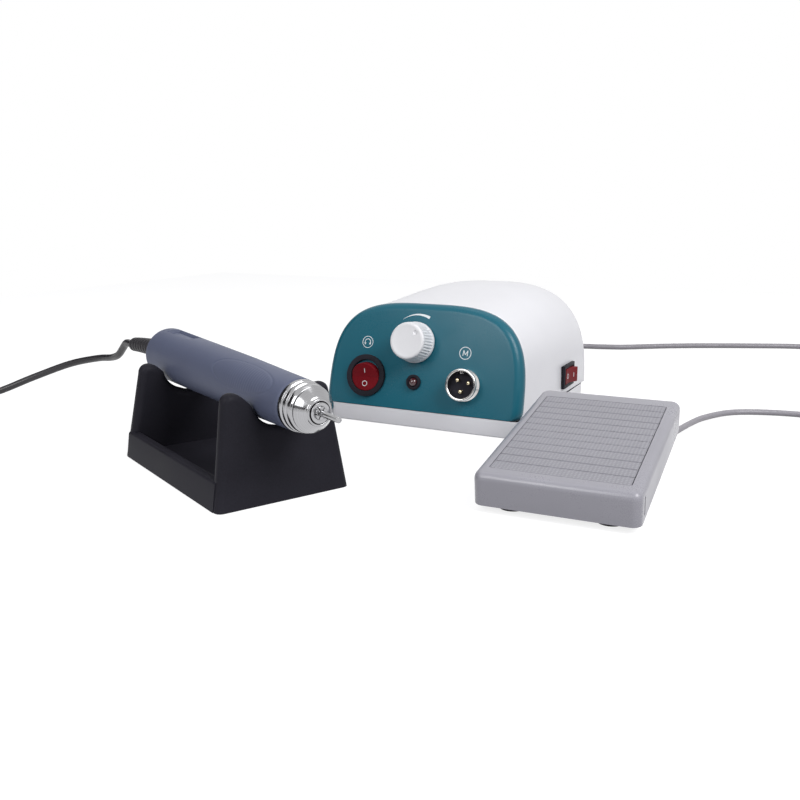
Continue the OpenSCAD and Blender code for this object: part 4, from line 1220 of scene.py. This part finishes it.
def mains_lead():
    """The grey mains lead, from the gland at the back."""
    out = Vector((25, UNIT_D / 2 + 24, 22))
    bends = [(11, 172), (3, 200), (1, 225), (9, 244), (26, 250), (43, 256), (60, 268)]
    bends += [(79, 281), (102, 294), (140, 312), (180, 327)]
    d = MAINS_LEAD_D
    coil = (240, 364, 0), d, 3.75, 34
    lead = [out, out + Vector((0, 8, -0.5)), (24, 115, 13), (19, 142, 4)]
    line = route([*lead, *laid(bends, d)], coil_turns(*coil, 6.8, 270), d, 16)
    cord = tube("mains_lead", line, d)
    fit(cord, "table_set", "grey_cable", "mains_cord", "mains_coil")
    tie = cord_tie("mains_lead_tie", *coil, 130)
    return cord


def pedal_cable():
    """The grey cable of the pedal."""
    way = PEDAL.to_3x3() @ Vector((0, 1, 0))
    out = PEDAL @ Vector((14, (PEDAL_L - 2 * TREADLE_T - 3.4) / 2 + 10, 2.1))
    bends = [(124, -36), (129, -17), (134, 8), (140, 28), (153, 48), (176, 58), (204, 60)]
    d = PEDAL_CABLE_D
    coil = (240, 90, 0), d, 3.75, 30
    line = route([out, out + 8 * way, *laid(bends, d)], coil_turns(*coil, 6.1, 270), d, 16)
    cord = tube("pedal_cable", line, d)
    fit(cord, "table_set", "grey_cable", "pedal_cord", "pedal_coil")
    tie = cord_tie("pedal_cable_tie", *coil, 130)
    return cord


class MICROMOTOR_OT_cords(bpy.types.Operator):
    """Lays the three cords with their coils and ties"""

    bl_idname = "micromotor.cords"
    bl_label = "Cords"

    def execute(self, context):
        handpiece_cord()
        mains_lead()
        pedal_cable()
        return {"FINISHED"}


# Pieces inside, and the plugs

FINISH_OF_SOLIDS = {
    "steel": (
        "pot_shaft", "potentiometer", "socket_nut", "motor_housing", "front_bearing",
        "rear_bearing", "hinge_pin", "hand_plug", "plug_nut",
    ),
    "iron": ("transformer_core", "magnets"),
    "copper": ("transformer_coil", "rotor"),
    "board": ("circuit_board",),
    "black_plastic": ("board_parts", "pedal_switch"),
    "brass": ("brush_holders", "mains_pins"),
    "grey_cable": ("mains_plug",),
    "red_rocker": ("switch_plunger",),
}


class MICROMOTOR_OT_works(bpy.types.Operator):
    """Finishes the pieces inside the unit, handpiece and pedal, and the plugs of the cords"""

    bl_idname = "micromotor.works"
    bl_label = "Works and plugs"

    def execute(self, context):
        for material, nodes in FINISH_OF_SOLIDS.items():
            for node in nodes:
                painted(node, material)
        return {"FINISHED"}


# Stage: lamps by place, aim, size and power, dark cards by place, aim and half sizes

LAMPS = {
    "key": ((0.75, -0.35, 0.75), (0, -0.05, 0.03), 0.5, 8.0),
    "top": ((-0.1, 0.25, 1.7), (0, -0.05, 0.0), 0.9, 2.5),
    "fill": ((-0.2, -1.0, 0.6), (0, -0.1, 0.03), 0.5, 4.6),
}
CARDS = {
    "card_left": ((-1.1, -0.1, 0.42), (-0.05, -0.15, 0.05), 0.6, 0.36),
    "card_front": ((-0.2, -1.5, 0.5), (0, -0.1, 0.04), 0.8, 0.3),
}
FLOOR_HALF, FLOOR_DROP, FLOOR_GREY, FLOOR_GLOW = 0.8, 0.0002, (0.35, 0.35, 0.36, 1), 0.80
SKY_LIGHT, SKY_SEEN = 0.35, 0.65
WHITE = (1, 1, 1, 1)


def lamp(name, at, aim, size, power):
    """A soft square light."""
    data = bpy.data.lights.new(name, "AREA")
    data.shape = "SQUARE"
    data.size = size
    data.energy = power
    thing = new_object(name, data)
    thing.location = at
    thing.rotation_euler = (Vector(aim) - Vector(at)).to_track_quat("-Z", "Y").to_euler()
    return thing


def dark_card(name, at, aim, half_w, half_h):
    """A dark card that only mirrors show, so that metal has its dark bands."""
    bm = bmesh.new()
    bmesh.ops.create_grid(bm, x_segments=1, y_segments=1, size=1.0)
    turn = (Vector(aim) - Vector(at)).to_track_quat("Z", "Y").to_matrix().to_4x4()
    bm.transform(place(*at) @ turn @ Matrix.Diagonal((half_w, half_h, 1, 1)))
    card = new_object(name, mesh_of(name, bm))
    card.data.materials.append(look("black_rubber"))
    card.visible_camera = card.visible_diffuse = False
    card.visible_shadow = card.visible_transmission = False
    return card


def seen_rays(tree):
    """1 for rays from the camera and for mirrored and refracted ones."""
    path = tree.nodes.new("ShaderNodeLightPath")
    mirrored = maths(tree, "MAXIMUM", path.outputs["Is Camera Ray"], path.outputs["Is Glossy Ray"])
    return maths(tree, "MAXIMUM", mirrored, path.outputs["Is Transmission Ray"])


def photo_camera():
    """The camera at the photograph's viewing angle."""
    data = bpy.data.cameras.new("photo_camera")
    data.sensor_width = SENSOR_W
    data.lens = FOCAL / PHOTO_W * SENSOR_W
    camera = new_object("photo_camera", data)
    camera.location = CAMERA_AT
    camera.rotation_euler = (math.radians(90 - CAMERA_DIP), 0, math.radians(CAMERA_TURN))
    return camera


def pale_floor():
    """A floor that looks white to the camera and in mirrors, and keeps the shadows."""
    bm = bmesh.new()
    bmesh.ops.create_grid(bm, x_segments=8, y_segments=8, size=FLOOR_HALF)
    bmesh.ops.translate(bm, verts=bm.verts, vec=(0, 0, -FLOOR_DROP))
    floor = new_object("floor", mesh_of("floor", bm))
    material = bpy.data.materials.new("white_floor")
    material.use_nodes = True
    tree = material.node_tree
    shader = tree.nodes["Principled BSDF"]
    shader.inputs["Base Color"].default_value = FLOOR_GREY
    shader.inputs["Roughness"].default_value = 0.9
    shader.inputs["Specular IOR Level"].default_value = 0.0
    shader.inputs["Emission Color"].default_value = WHITE
    glow = maths(tree, "MULTIPLY", seen_rays(tree), FLOOR_GLOW)
    tree.links.new(glow, shader.inputs["Emission Strength"])
    floor.data.materials.append(material)
    return floor


def studio_world():
    """White surroundings for the camera and mirrors, and a weaker light on the set."""
    world = bpy.data.worlds.new("studio")
    world.use_nodes = True
    tree = world.node_tree
    sky = tree.nodes["Background"]
    sky.inputs["Color"].default_value = WHITE
    seen = maths(tree, "MULTIPLY", seen_rays(tree), SKY_SEEN)
    tree.links.new(maths(tree, "ADD", seen, SKY_LIGHT), sky.inputs["Strength"])
    return world


class MICROMOTOR_OT_stage(bpy.types.Operator):
    """Sets the camera, the floor and the light"""

    bl_idname = "micromotor.stage"
    bl_label = "Stage"

    def execute(self, context):
        scene = context.scene
        scene.view_settings.view_transform = "Standard"
        scene.camera = photo_camera()
        pale_floor()
        scene.world = studio_world()
        for name, values in LAMPS.items():
            lamp(name, *values)
        for name, values in CARDS.items():
            dark_card(name, *values)
        return {"FINISHED"}


class MICROMOTOR_PT_panel(bpy.types.Panel):
    """Lists the steps and the settings"""

    bl_idname = "MICROMOTOR_PT_panel"
    bl_label = "Micromotor set"
    bl_space_type = "VIEW_3D"
    bl_region_type = "UI"
    bl_category = "Micromotor"

    def draw(self, context):
        for step in STEPS:
            self.layout.operator(step.bl_idname)
        for settings in (context.scene.micromotor_sizes, context.scene.micromotor_colours):
            box = self.layout.box()
            for name in settings.bl_rna.properties.keys():
                if name not in ("rna_type", "name"):
                    box.prop(settings, name)


STEPS = (
    MICROMOTOR_OT_finishes, MICROMOTOR_OT_stage, MICROMOTOR_OT_cords, MICROMOTOR_OT_case,
    MICROMOTOR_OT_controls, MICROMOTOR_OT_rest, MICROMOTOR_OT_handpiece, MICROMOTOR_OT_pedal,
    MICROMOTOR_OT_works,
)
CLASSES = (MicromotorSizes, MicromotorColours, *STEPS, MICROMOTOR_PT_panel)


def register():
    for item in CLASSES:
        bpy.utils.register_class(item)
    bpy.types.Scene.micromotor_sizes = PointerProperty(type=MicromotorSizes)
    bpy.types.Scene.micromotor_colours = PointerProperty(type=MicromotorColours)


def unregister():
    del bpy.types.Scene.micromotor_colours
    del bpy.types.Scene.micromotor_sizes
    for item in reversed(CLASSES):
        bpy.utils.unregister_class(item)


def main():
    register()
    for step in STEPS:
        area, name = step.bl_idname.split(".")
        getattr(getattr(bpy.ops, area), name)()


if __name__ == "__main__":
    main()
